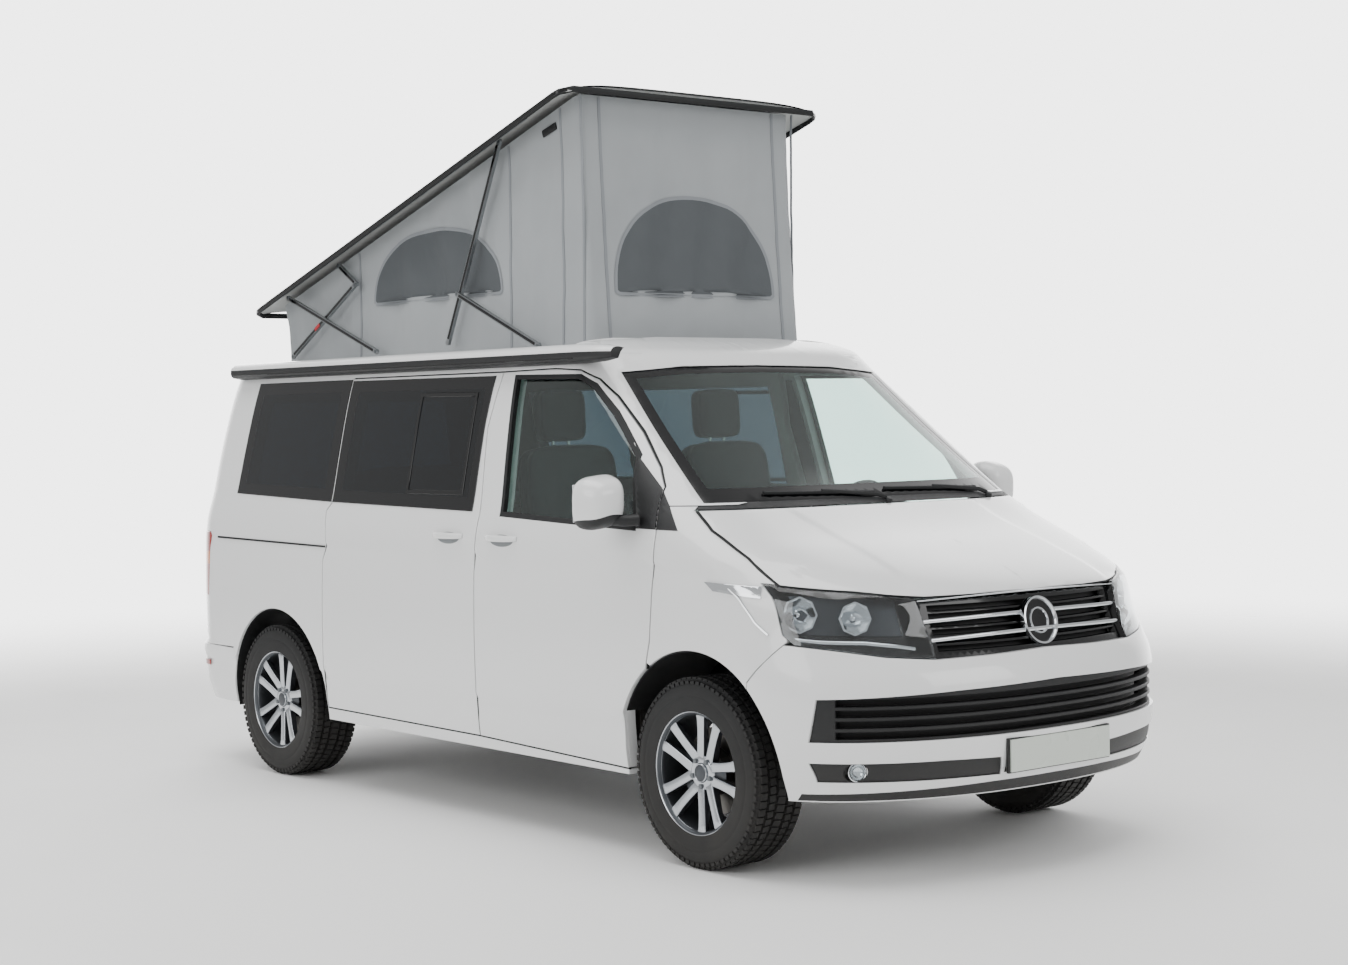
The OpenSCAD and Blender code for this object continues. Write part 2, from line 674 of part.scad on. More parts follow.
module rear_axle() {
    inner = track / 2 - 14.5;
    color("black") {
        translate([ra - 40, -inner + 60, tyre_r - 35]) cube([80, 2 * inner - 120, 70]);
        for (s = [-1, 1]) mirror([0, s > 0 ? 0 : 1, 0]) {
            translate([ra, inner - 75, tyre_r]) rotate([-90, 0, 0]) cylinder(h = 75, r = 55, $fn = 64);
            translate([ra + 30, 470, tyre_r - 30]) cube([520, 60, 60]);
            translate([ra + 480, 470, tyre_r + 20]) cube([70, 60, floor_z - 30 - tyre_r - 20]);
            translate([ra, 560, tyre_r + 34]) cylinder(h = floor_z - 30 - tyre_r - 34, r = 50, $fn = 48);
        }
    }
}

module exhaust_and_tank() {
    color("darkgray") {
        translate([ra + 700, 120, 330]) cube([900, 520, floor_z - 30 - 330]);
        translate([fa - 500, -260, 470]) rotate([0, -90, 0])
            cylinder(h = fa - 500 - tail - 200, r = 28, $fn = 32);
        translate([ra - 540, -260, 470]) rotate([0, -90, 0]) cylinder(h = 260, r = 70, $fn = 48);
    }
}

module dashboard() {
    color("dimgray") {
        intersection() {
            form(wall + 14, 900, 1258);
            side_prism(1, -1000, 1000) polygon([[fa - 164, 930], [fa - 164, 1256], [fa - 330, 1256],
                [fa - 480, 1210], [fa - 520, 1120], [fa - 440, 980]]);
        }
        translate([fa - 420, 430, 1090]) rotate([0, -62, 0]) cylinder(h = 180 - eps, r = 34, $fn = 48);
    }
}

// Steering wheel on the axis that points back and up to the driver.
module steering_wheel() {
    color("black") translate([fa - 420, 430, 1090]) rotate([0, -62, 0]) translate([0, 0, 180]) {
        rotate_extrude($fn = 72) translate([178, 0]) circle(15, $fn = 24);
        cylinder(h = 40, r = 62, $fn = 48);
        for (a = [0, 120, 240]) rotate([0, 0, a - 90]) translate([50, -16, 2]) cube([120, 32, 14]);
    }
}

module front_seats() {
    color("dimgray") for (y = [-430, 430]) translate([fa - 1354, y, 0]) {
        translate([60, -200, floor_z]) cube([320, 400, 260]);
        hull() for (x = [10, 430]) for (e = [-190, 190])
            translate([x, e, 900]) rotate([0, 0, 0]) sphere(72, $fn = 24);
        hull() {
            for (e = [-170, 170]) translate([20, e, 1010]) sphere(70, $fn = 24);
            for (e = [-150, 150]) translate([-60, e + 0, 1450]) sphere(52, $fn = 24);
        }
        hull() for (e = [-70, 70], z = [1560, 1700]) translate([-90, e, z]) sphere(45, $fn = 24);
        for (e = [-40, 40]) translate([-84, e, 1440]) cylinder(h = 130, r = 7, $fn = 24);
    }
}

module rear_bench() {
    color("dimgray") {
        translate([ra + 130, -560, floor_z]) cube([420, 940, 280]);
        translate([ra + 100, -570, floor_z + 280]) cube([520, 960, 150]);
        translate([ra - 20, -570, floor_z + 281]) rotate([0, -8, 0]) cube([140, 960, 560]);
    }
}

module kitchen_cabinet() {
    color("lightgray") intersection() {
        form(wall + 12, floor_z, 1180);
        union() {
            translate([ra + 470, 480, floor_z]) cube([fa - 1650 - ra - 470, 500, 610]);
            translate([tail + 430, 480, wheel_top()]) cube([ra + 470 - tail - 430, 500, 1180 - wheel_top()]);
        }
    }
}
function wheel_top() = 2 * tyre_r + 120;

// Roof linkage: every bar lies in a plane beside the tent, on both sides.
pole = [tail - 381, roof_z + 325];
closed_z = roof_z + 10;
panel_rear = tail + 362;
panel_front = panel_rear + panel_length;
arm_y = tent_half + 42;
brace_y = arm_y + bar_t + 3;
short_y = arm_y - bar_t - 3;
brace_foot = [fa - 1309, roof_z + 24];
brace_len = 632;
brace_rise = 157.6;
arm_low = 230;
arm_high = 694;
arm_rise = 63.5;
knee = brace_foot + brace_len * [cos(brace_rise), sin(brace_rise)];
lower_foot = [tail + 664, roof_z + 43];
lower_len = 652;
lower_rise = 28.3;
upper_foot = [tail + 1439, roof_z + 41];
upper_len = 830;
upper_rise = 160.1;
short_pin = [tail + 1048, roof_z + 19];
short_len = 178;
short_drop = -48.6;
arm_end = knee + arm_high * [cos(arm_rise), sin(arm_rise)];
arm_tip = pole + rot2(arm_end - pole, -roof_angle);

// Flat bar from its pin along +X; hole at the pin end, at its far end and at any mid pin.
module bar(len, back = 0, hole_mid = false) {
    rotate([90, 0, 0]) translate([0, 0, -bar_t / 2]) difference() {
        union() {
            translate([-back, -bar_h / 2, 0]) cube([len + back, bar_h, bar_t]);
            cylinder(h = bar_t, r = bar_h / 2 + 2, $fn = 48);
            translate([len, 0, 0]) cylinder(h = bar_t, r = bar_h / 2, $fn = 48);
            if (back > 0) translate([-back, 0, 0]) cylinder(h = bar_t, r = bar_h / 2, $fn = 48);
        }
        translate([0, 0, -1]) cylinder(h = bar_t + 2, r = pin_r + eps, $fn = 48);
    }
}

function rot2(v, a) = [v[0] * cos(a) - v[1] * sin(a), v[0] * sin(a) + v[1] * cos(a)];
module both_sides() { for (m = [0, 1]) mirror([0, m, 0]) children(); }

module roof_braces() {
    color("silver") both_sides() {
        translate([brace_foot[0], brace_y, brace_foot[1]]) rotate([0, -brace_rise, 0])
            bar(brace_len);
        translate([knee[0], arm_y - bar_t / 2, knee[1]]) rotate([-90, 0, 0])
            cylinder(h = bar_t + 3, r = pin_r, $fn = 48);
    }
}

module roof_main_arms() {
    color("silver") both_sides() translate([knee[0], arm_y, knee[1]])
        rotate([0, -arm_rise, 0]) bar(arm_high, arm_low);
}

module rear_links_lower() {
    color("silver") both_sides() translate([lower_foot[0], arm_y, lower_foot[1]])
        rotate([0, -lower_rise, 0]) bar(lower_len);
}

module rear_links_upper() {
    color("silver") both_sides() translate([upper_foot[0], brace_y, upper_foot[1]])
        rotate([0, -upper_rise, 0]) bar(upper_len);
}

module raised() {
    translate([pole[0], 0, pole[1]]) rotate([0, -roof_angle, 0])
        translate([-pole[0], 0, -pole[1]]) children();
}

module rear_short_links() {
    color("silver") raised() both_sides() translate([short_pin[0], short_y, short_pin[1]])
        rotate([0, -short_drop, 0]) bar(short_len);
}

// Cross section of the closed panel at one station: half width scale, top height.
function panel_ring(x, top, in) =
    let (w = panel_half - in, z0 = closed_z - (in > 0 ? 5 : 0), r = (top - closed_z))
    [[x, w, z0], [x, w, closed_z + min(12, r / 3)], [x, w - 13, closed_z + 0.62 * r - in * 0.6],
     [x, w - 60, closed_z + 0.86 * r - in], [x, w - 150, top - in],
     [x, -w + 150, top - in], [x, -w + 60, closed_z + 0.86 * r - in],
     [x, -w + 13, closed_z + 0.62 * r - in * 0.6], [x, -w, closed_z + min(12, r / 3)], [x, -w, z0]];
module panel_form(in) {
    stations = [[panel_rear + in, 48], [panel_rear + 60, 62], [panel_rear + 240, 90],
        [panel_front - 420, 90], [panel_front - 230, 86], [panel_front - 70, 56],
        [panel_front - in, 38]];
    pts = [for (s = stations) each panel_ring(s[0], closed_z + s[1], in)];
    n = 10;
    m = len(stations) - 1;
    faces = concat([[for (j = [0:n - 1]) j]], [[for (j = [n - 1:-1:0]) m * n + j]],
        [for (i = [0:m - 1], j = [0:n - 1]) [i * n + j, (i + 1) * n + j, (i + 1) * n + (j + 1) % n]],
        [for (i = [0:m - 1], j = [0:n - 1]) [i * n + j, (i + 1) * n + (j + 1) % n, i * n + (j + 1) % n]]);
    polyhedron(pts, faces);
}

module roof_panel() {
    color("white") raised() {
        difference() {
            panel_form(0);
            panel_form(14);
        }
        both_sides() {
            translate([short_pin[0], short_y - bar_t / 2 - 3, short_pin[1]]) rotate([-90, 0, 0])
                cylinder(h = bar_t + 3, r = pin_r, $fn = 48);
            translate([short_pin[0] - 14, short_y - bar_t / 2 - 9, short_pin[1] - 8])
                cube([28, 6, 72]);
        }
    }
}

// Tent: four cloth walls, open below to the cabin, between the deck and the raised panel.
tent_rear = tail + 540;
tent_front = fa - 1030;
module tent_canvas() {
    slope = tan(roof_angle);
    lid_low = pole[1] - 315 / cos(roof_angle) + 20;
    function lid(x) = lid_low + slope * (x - pole[0]);
    t = 5;
    color("darkgray") difference() {
        side_prism(1, -tent_half, tent_half) polygon([[tent_rear, roof_z], [tent_front, roof_z],
            [tent_front - 60, lid(tent_front - 60)], [tent_rear - 45, lid(tent_rear - 45)]]);
        side_prism(1, -tent_half + t, tent_half - t) polygon([[tent_rear + t, roof_z - 10],
            [tent_front - t, roof_z - 10], [tent_front - 60 - t, lid(tent_front - 60) + 50],
            [tent_rear - 45 + t, lid(tent_rear - 45) + 50]]);
    }
}

// Feet of the roof linkage on the deck, outboard of the bars, or inboard where a bar passes.
module roof_feet() {
    both_sides() {
        for (f = [[brace_foot, brace_y, 1], [upper_foot, brace_y, 1], [lower_foot, arm_y, -1]]) {
            translate([f[0][0] - 20, f[1] + f[2] * (bar_t / 2 + 4) - 3, roof_z - 1])
                cube([40, 6, f[0][1] - roof_z + 14]);
            translate([f[0][0], f[1] + f[2] * 2.5, f[0][1]]) rotate([90, 0, 0])
                cylinder(h = bar_t + 5, r = pin_r, $fn = 48, center = true);
        }
    }
}

color("white") side_frame(-1);  // side_frame_right
color("white") side_frame(1);  // side_frame_left
union() { roof_shell(); color("silver") roof_feet(); }
floor_pan();
front_structure();
engine_block();
front_wings();
front_bumper();
bumper_grille();
radiator_grille();
headlights();
windscreen();
cowl_and_wipers();
side_glass();
sliding_door();
sliding_door_glass();
awning();
rear_bumper();
tail_lights();
dashboard();
steering_wheel();
front_seats();
rear_bench();
kitchen_cabinet();
front_suspension();
rear_axle();
exhaust_and_tank();
number_plates();
tent_canvas();
front_door(-1);  // front_door_right
front_door_glass(-1);  // front_door_glass_right
mirror_body(-1);  // mirror_right
front_door(1);  // front_door_left
front_door_glass(1);  // front_door_glass_left
mirror_body(1);  // mirror_left
tailgate();
tailgate_glass();
bonnet();
roof_panel();
roof_braces();
roof_main_arms();
rear_links_lower();
rear_links_upper();
rear_short_links();
knuckle(-1);  // knuckle_right
knuckle(1);  // knuckle_left
wheel_at(fa, -1) tyre();  // front_tyre_right
wheel_at(fa, -1) rim();  // front_rim_right
wheel_at(fa, 1) tyre();  // front_tyre_left
wheel_at(fa, 1) rim();  // front_rim_left
wheel_at(ra, -1) tyre();  // rear_tyre_right
wheel_at(ra, -1) rim();  // rear_rim_right
wheel_at(ra, 1) tyre();  // rear_tyre_left
wheel_at(ra, 1) rim();  // rear_rim_left
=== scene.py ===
import json
import math

import bmesh
import bpy
import numpy as np
from bpy.props import FloatProperty, FloatVectorProperty, IntProperty, PointerProperty
from mathutils import Matrix, Vector
from mathutils.geometry import delaunay_2d_cdt
from mathutils.noise import noise as perlin


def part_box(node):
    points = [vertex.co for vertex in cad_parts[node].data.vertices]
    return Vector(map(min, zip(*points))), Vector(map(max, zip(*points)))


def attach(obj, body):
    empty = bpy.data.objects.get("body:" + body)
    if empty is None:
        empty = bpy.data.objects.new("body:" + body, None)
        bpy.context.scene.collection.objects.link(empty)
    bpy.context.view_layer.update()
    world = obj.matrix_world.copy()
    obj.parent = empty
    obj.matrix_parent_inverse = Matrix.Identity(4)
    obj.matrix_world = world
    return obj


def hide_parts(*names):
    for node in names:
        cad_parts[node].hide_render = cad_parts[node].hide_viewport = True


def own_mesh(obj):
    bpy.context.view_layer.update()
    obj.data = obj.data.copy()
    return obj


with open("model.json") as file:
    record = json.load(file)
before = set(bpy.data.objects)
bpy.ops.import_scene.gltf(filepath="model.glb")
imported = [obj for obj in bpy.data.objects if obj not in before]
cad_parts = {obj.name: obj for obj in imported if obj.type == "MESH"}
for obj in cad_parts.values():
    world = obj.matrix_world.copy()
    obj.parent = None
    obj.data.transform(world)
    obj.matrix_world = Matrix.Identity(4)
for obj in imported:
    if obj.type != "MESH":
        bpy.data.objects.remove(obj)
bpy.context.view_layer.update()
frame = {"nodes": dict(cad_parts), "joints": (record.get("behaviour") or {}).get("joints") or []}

bl_info = {
    "name": "Camper van looks",
    "version": (1, 0, 0),
    "blender": (4, 5, 0),
    "location": "View3D > Sidebar > Camper van",
    "description": "Builds the visible pieces of a camper van with a raised pop-up roof",
    "category": "Object",
}

# ---------------------------------------------------------------- sizes from the frame, in mm


def centre_mm(node):
    """Middle of a CAD node's box."""
    low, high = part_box(node)
    return (low + high) * 500


FRONT_WHEEL = centre_mm("front_tyre_right")
REAR_WHEEL = centre_mm("rear_tyre_right")
FA, RA = FRONT_WHEEL.x, REAR_WHEEL.x
TYRE_R = FRONT_WHEEL.z
NOSE_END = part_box("front_bumper")[1].x * 1000
TAIL_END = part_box("rear_bumper")[0].x * 1000
HALF = 952.0
DECK_Z = 1895.0
WALL = 60.0
GAP = 6.0
MM = 0.001
FAR = 2900.0

# Inset from the widest point of the body against height.
TUCK = [(300, 27), (400, 14), (520, 6), (800, 0), (1050, 3), (1150, 10), (1300, 46), (1500, 90),
        (1700, 138), (1826, 176), (1880, 194), (1912, 215), (1945, 290)]
NOSE = [(300, 60), (400, 10), (520, 0), (650, 0), (720, 14), (785, 48), (880, 92), (985, 127),
        (1010, 160), (1055, 250), (1130, 450), (1195, 650), (1255, 800), (1300, 895), (1826, 1582),
        (1880, 1640), (1912, 1720), (1945, 1850)]
TAIL = [(300, 60), (400, 12), (480, 0), (560, 8), (575, 50), (700, 48), (1100, 53), (1300, 80),
        (1500, 110), (1700, 150), (1826, 180), (1912, 230), (1945, 300)]
NOSE_DEPTH = [(300, 560), (985, 580), (1032, 560), (1120, 520), (1210, 450), (1300, 400),
              (1826, 330), (1945, 320)]
NOSE_POWER = [(300, 2.2), (985, 2.2), (1120, 2.5), (1210, 3), (1300, 3.5), (1500, 4), (1945, 4)]
TAIL_DEPTH = [(300, 430), (480, 450), (575, 430), (1100, 430), (1500, 400), (1826, 360), (1945, 330)]
TAIL_POWER = [(300, 2.6), (1100, 2.6), (1500, 2.8), (1945, 3)]


def smooth_curve(table):
    """Monotone cubic through a table, as a function of an array."""
    xs, ys = (np.array(c, float) for c in zip(*table))
    h = np.diff(xs)
    d = np.diff(ys) / h
    m = np.zeros(len(xs))
    m[0], m[-1] = d[0], d[-1]
    p, q = d[:-1], d[1:]
    same = p * q > 0
    m[1:-1][same] = 2 * p[same] * q[same] / (p[same] + q[same])

    def at(x):
        x = np.clip(np.asarray(x, float), xs[0], xs[-1])
        i = np.clip(np.searchsorted(xs, x, side="right") - 1, 0, len(h) - 1)
        t = (x - xs[i]) / h[i]
        t2, t3 = t * t, t * t * t
        return ((2 * t3 - 3 * t2 + 1) * ys[i] + (t3 - 2 * t2 + t) * h[i] * m[i]
                + (3 * t2 - 2 * t3) * ys[i + 1] + (t3 - t2) * h[i] * m[i + 1])

    return at


tuck, nose_in, tail_in = smooth_curve(TUCK), smooth_curve(NOSE), smooth_curve(TAIL)
nose_depth, nose_power = smooth_curve(NOSE_DEPTH), smooth_curve(NOSE_POWER)
tail_depth, tail_power = smooth_curve(TAIL_DEPTH), smooth_curve(TAIL_POWER)

# Way round the plan: q is 0 at the nose, 1 and 2 at the ends of the straight right side and 3 at
# the tail; u is the same in mm, so that a flat pattern keeps its shape.
Q_MARKS = [-3, -2, -1, 0, 1, 2, 3, 4, 5]
U_MARKS = [-6000, -4950, -1150, 0, 1150, 4950, 6000, 7050, 10850]


def corner(share, power):
    """Cosine and sine parts of a rounded corner at a share of its quarter turn."""
    angle = share * math.pi / 2
    c, s = np.cos(angle), np.sin(angle)
    r = (np.abs(c) ** power + np.abs(s) ** power) ** (-1 / power)
    return c * r, s * r


def body_point(u, z, inset=0.0):
    """Points of the body's outer form, moved inwards by inset."""
    q = np.interp(u, U_MARKS, Q_MARKS)
    left = (q < 0) | (q > 3)
    q = np.abs(q)
    q = np.where(q > 3, 6 - q, q)
    w = HALF - tuck(z) - inset
    a, b = nose_depth(z) - inset, tail_depth(z) - inset
    x0 = NOSE_END - nose_in(z) - inset - a
    x1 = TAIL_END + tail_in(z) + inset + b
    nc, ns = corner(np.clip(q, 0, 1), nose_power(z))
    tc, ts = corner(np.clip(3 - q, 0, 1), tail_power(z))
    x = np.where(q < 1, x0 + a * nc, np.where(q > 2, x1 - b * tc, x0 + (x1 - x0) * (q - 1)))
    y = w * np.where(q < 1, ns, np.where(q > 2, ts, 1.0))
    return np.stack([x, np.where(left, y, -y), z + 0 * x], -1)


def spot(u, z, inset=0.0):
    """One point of the body's form."""
    return body_point(np.array([float(u)]), np.array([float(z)]), inset)[0]


def share_of(c, power):
    """Share of a corner's quarter turn at which its cosine part is c."""
    s = (1 - min(1, max(0, c)) ** power) ** (1 / power)
    return math.atan2(s, c) * 2 / math.pi


def u_side(x, z):
    """Place round the plan of a point seen from the side."""
    a, b = float(nose_depth(z)), float(tail_depth(z))
    x0 = NOSE_END - float(nose_in(z)) - a
    x1 = TAIL_END + float(tail_in(z)) + b
    if x > x0:
        q = share_of(min(1, (x - x0) / a), float(nose_power(z)))
    elif x < x1:
        q = 3 - share_of(min(1, (x1 - x) / b), float(tail_power(z)))
    else:
        q = 1 + (x0 - x) / (x0 - x1)
    return float(np.interp(q, Q_MARKS, U_MARKS))


def u_end(y, z, rear):
    """Place round the plan of a point seen from the front or the rear."""
    w = HALF - float(tuck(z))
    s = min(1, abs(y) / w)
    power = float(tail_power(z) if rear else nose_power(z))
    q = 1.2 if s > 0.9995 else 1 - share_of(s, power)
    if rear:
        q = 3 - q if y < 0 else 3 + q
    elif y > 0:
        q = -q
    return float(np.interp(q, Q_MARKS, U_MARKS))


def dense(points, step=22.0):
    """Closed outline with extra points, so that none is further than step from the next."""
    out = []
    for i, p in enumerate(points):
        n = points[(i + 1) % len(points)]
        k = max(1, int(math.ceil(math.dist(p, n) / step)))
        out += [(p[0] + (n[0] - p[0]) * j / k, p[1] + (n[1] - p[1]) * j / k) for j in range(k)]
    return out


def side(points):
    """Outline drawn in the side view, laid round the body."""
    return [(u_side(x, z), z) for x, z in dense(points)]


def front(points):
    """Outline drawn in the front view, laid round the body."""
    return [(u_end(y, z, False), z) for y, z in dense(points)]


def rear(points):
    """Outline drawn in the rear view, laid round the body."""
    return [(u_end(y, z, True), z) for y, z in dense(points)]


def other_side(outline, centre=0.0):
    """The same outline across the middle plane."""
    return [(2 * centre - u, z) for u, z in outline]


def both(outline, centre=0.0):
    """An outline and its twin on the other side."""
    return [outline, other_side(outline, centre)]


def shrink(points, by):
    """Anticlockwise outline moved inwards."""
    out = []
    for i, b in enumerate(points):
        a, c = Vector(points[i - 1]), Vector(points[(i + 1) % len(points)])
        b = Vector(b)
        u, v = (b - a).normalized(), (c - b).normalized()
        nu, nv = Vector((-u.y, u.x)), Vector((-v.y, v.x))
        out.append(tuple(b + by * (nu + nv) / (1 + nu.dot(nv))))
    return out


def mirrored(points):
    """Right half of an outline, completed with its left half."""
    return points + [(-y, z) for y, z in reversed(points) if y != 0]


def circle(x, z, r, count=96):
    """Outline of a circle."""
    return [(x + r * math.cos(math.tau * i / count), z + r * math.sin(math.tau * i / count))
            for i in range(count)]


# ---------------------------------------------------------------- outlines of the panels

DOOR_REAR = [(FA - 1344, 1812), (FA - 1379, 1584), (FA - 1332, 1240), (FA - 1339, 1059),
             (FA - 1344, 738), (FA - 1347, 345)]
FRONT_DOOR = DOOR_REAR + [(FA - 378, 320), (FA - 300, 320), (FA - 239, 723), (FA - 216, 808),
                          (FA - 195, 1044), (FA - 191, 1199), (FA - 235, 1363), (FA - 300, 1433),
                          (FA - 453, 1565), (FA - 627, 1701), (FA - 733, 1769), (FA - 837, 1807),
                          (FA - 997, 1816)]
FRONT_GLASS = [(FA - 1184, 1240), (FA - 733, 1223), (FA - 315, 1209), (FA - 394, 1476),
               (FA - 584, 1640), (FA - 732, 1747), (FA - 825, 1785), (FA - 1251, 1792)]
SLIDING_DOOR = [(RA + 496, 1812), (RA + 508, 1264), (RA + 475, 1230), (RA + 500, 1075),
                (RA + 472, 1008), (RA + 456, 530), (RA + 466, 352)] + DOOR_REAR[::-1]
SLIDING_PANE = [(RA + 500, 1802), (RA + 512, 1266), (FA - 1384, 1249), (FA - 1396, 1584),
                (FA - 1388, 1798)]
SLIDING_HOLE = [(RA + 570, 1750), (RA + 576, 1320), (FA - 1436, 1305), (FA - 1442, 1748)]
QUARTER_PANE = [(TAIL_END + 648, 1808), (TAIL_END + 627, 1290), (RA + 504, 1266), (RA + 492, 1808)]
QUARTER_HOLE = [(TAIL_END + 710, 1752), (TAIL_END + 695, 1340), (RA + 430, 1322), (RA + 424, 1754)]
WING = [(FA - 239, 726), (FA - 20, 600), (FA + 310, 600), (FA + 316, 700), (FA + 470, 840),
        (FA + 470, 1023), (FA + 402, 1031), (FA + 237, 1119), (FA + 34, 1210), (FA - 83, 1280),
        (FA - 90, 1296), (FA - 222, 1296), (FA - 191, 1199), (FA - 195, 1044), (FA - 216, 808)]
BONNET = [(FA - 83, 1280), (FA + 34, 1210), (FA + 237, 1119), (FA + 402, 1031), (FA + 588, 1009),
          (FA + 714, 984), (NOSE_END + 50, 984), (NOSE_END + 50, 1280)]
FRONT_BUMPER = [(FA + 300, 300), (NOSE_END + 50, 300), (NOSE_END + 50, 860), (FA + 488, 860),
                (FA + 316, 696)]
REAR_BUMPER = [(TAIL_END - 50, 300), (TAIL_END + 652, 300), (TAIL_END + 628, 561),
               (TAIL_END + 359, 566), (TAIL_END - 50, 566)]
TAIL_LAMP = [(TAIL_END - 50, 798), (TAIL_END + 389, 800), (TAIL_END + 420, 1107),
             (TAIL_END - 50, 1107)]
SCREEN = mirrored([(790, 1303), (681, 1795), (400, 1817), (0, 1823)])
LAMP = [(519, 982), (497, 829), (505, 779), (671, 793), (888, 833), (904, 865), (904, 1040)]
GRILLE = mirrored([(519, 978), (497, 829), (505, 776), (250, 780), (0, 787)])
BUMPER_TOP = mirrored([(960, 300), (960, 840), (888, 830), (671, 790), (505, 776), (250, 780),
                       (0, 787)])
LOW_GRILLE = mirrored([(891, 509), (877, 655), (454, 672), (0, 682)])
FOG_STRIP = [(275, 368), (864, 373), (887, 438), (492, 436), (283, 430)]
TAILGATE = mirrored([(785, 585), (785, 1120), (742, 1500), (690, 1800), (560, 1822)])
REAR_PANE = mirrored([(700, 1200), (664, 1500), (610, 1770)])
REAR_HOLE = mirrored([(640, 1250), (606, 1500), (560, 1720)])
REAR_ARCH = circle(RA + 36, TYRE_R, 425)
ROOF_ZONE = [(-FAR, 1870), (FA - 744, 1870), (FA - 704, 1822), (FAR, 1822), (FAR, 1990), (-FAR, 1990)]


def front_arch_outline(move=0.0):
    """Front wheel arch: a circle cut off behind the wheel."""
    arc = [p for p in circle(FA + 19, TYRE_R, 442, 144) if p[0] > FA - 386]
    start = next(i for i in range(len(arc)) if math.dist(arc[i - 1], arc[i]) > 60)
    arc = arc[start:] + arc[:start]
    return [(x + move, z) for x, z in arc]


# ---------------------------------------------------------------- panels on the body's form


def inside(points, outline):
    """True for each point that lies in the outline."""
    px, py = points[:, 0][:, None], points[:, 1][:, None]
    a = np.array(outline, float)
    b = np.roll(a, -1, 0)
    crosses = (a[:, 1] > py) != (b[:, 1] > py)
    with np.errstate(divide="ignore", invalid="ignore"):
        at = (b[:, 0] - a[:, 0]) * (py - a[:, 1]) / (b[:, 1] - a[:, 1]) + a[:, 0]
    return (crosses & (px < at)).sum(1) % 2 == 1


def in_any(points, outlines):
    """True for each point that lies in one of the outlines."""
    hit = np.zeros(len(points), bool)
    for outline in outlines:
        hit |= inside(points, outline)
    return hit


def near_edges(points, outlines, reach):
    """True for each point close to a corner of an outline."""
    close = np.zeros(len(points), bool)
    for outline in outlines:
        edge = np.array(outline, float)
        for start in range(0, len(points), 4000):
            part = points[start:start + 4000]
            d = ((part[:, None, :] - edge[None]) ** 2).sum(2).min(1)
            close[start:start + 4000] |= d < reach * reach
    return close


def filled(outlines, grid=()):
    """Constrained triangulation of closed outlines and loose points: its points and triangles."""
    verts, edges = [], []
    for o in outlines:
        base = len(verts)
        verts += [Vector(p) for p in o]
        edges += [(base + i, base + (i + 1) % len(o)) for i in range(len(o))]
    verts += [Vector(p) for p in grid]
    flat, _, tris, _, _, _ = delaunay_2d_cdt(verts, edges, [], 0, 0.01)
    return np.array([tuple(v) for v in flat], float), np.array(tris, int)


def areas(flat, tris):
    """Twice the signed area of each triangle."""
    a, b, c = (flat[tris[:, k]] for k in range(3))
    return (b[:, 0] - a[:, 0]) * (c[:, 1] - a[:, 1]) - (c[:, 0] - a[:, 0]) * (b[:, 1] - a[:, 1])


def relief(x, y, z):
    """Extra inset of the outer skin in mm: the pressed lines of the sides and the bonnet."""
    def ramp(t):
        t = np.clip(t, 0, 1)
        return t * t * (3 - 2 * t)

    line = 1084 + 12 * np.abs(x) / 2000
    flank = (np.abs(y) > 700) & (x < FA + 430)
    waist = 6.0 * ramp((line - z) / 5) * ramp((z - line + 90) / 80)
    sill_line = 515
    skirt = 7.0 * ramp((sill_line - z) / 8) * (1 - 0.4 * ramp((sill_line - 60 - z) / 60))
    hood = (z > 1000) & (x > FA - 20) & (z < 1290)
    crease = 462 + 40 * ramp((np.abs(x - 1900) - 150) / 300)
    fold = 9.0 * ramp((np.abs(y) - crease) / 26) * (1 - 0.7 * ramp((np.abs(y) - crease - 60) / 180))
    return np.where(flank & (z < 1300), waist + skirt, 0.0) + np.where(hood, fold, 0.0)


def mesh_object(name, points, faces, materials, indices=None, sharp=32.0, closed=True):
    """New object from points in mm; its place is in its mesh."""
    mesh = bpy.data.meshes.new(name)
    mesh.from_pydata([tuple(p) for p in np.asarray(points, float) * MM], [], [list(f) for f in faces])
    obj = bpy.data.objects.new(name, mesh)
    bpy.context.scene.collection.objects.link(obj)
    for m in materials:
        mesh.materials.append(m)
    if indices is not None:
        mesh.polygons.foreach_set("material_index", np.asarray(indices, np.int32))
    mesh.validate()
    mesh.shade_smooth()
    if sharp:
        mesh.set_sharp_from_angle(angle=math.radians(sharp))
    return obj


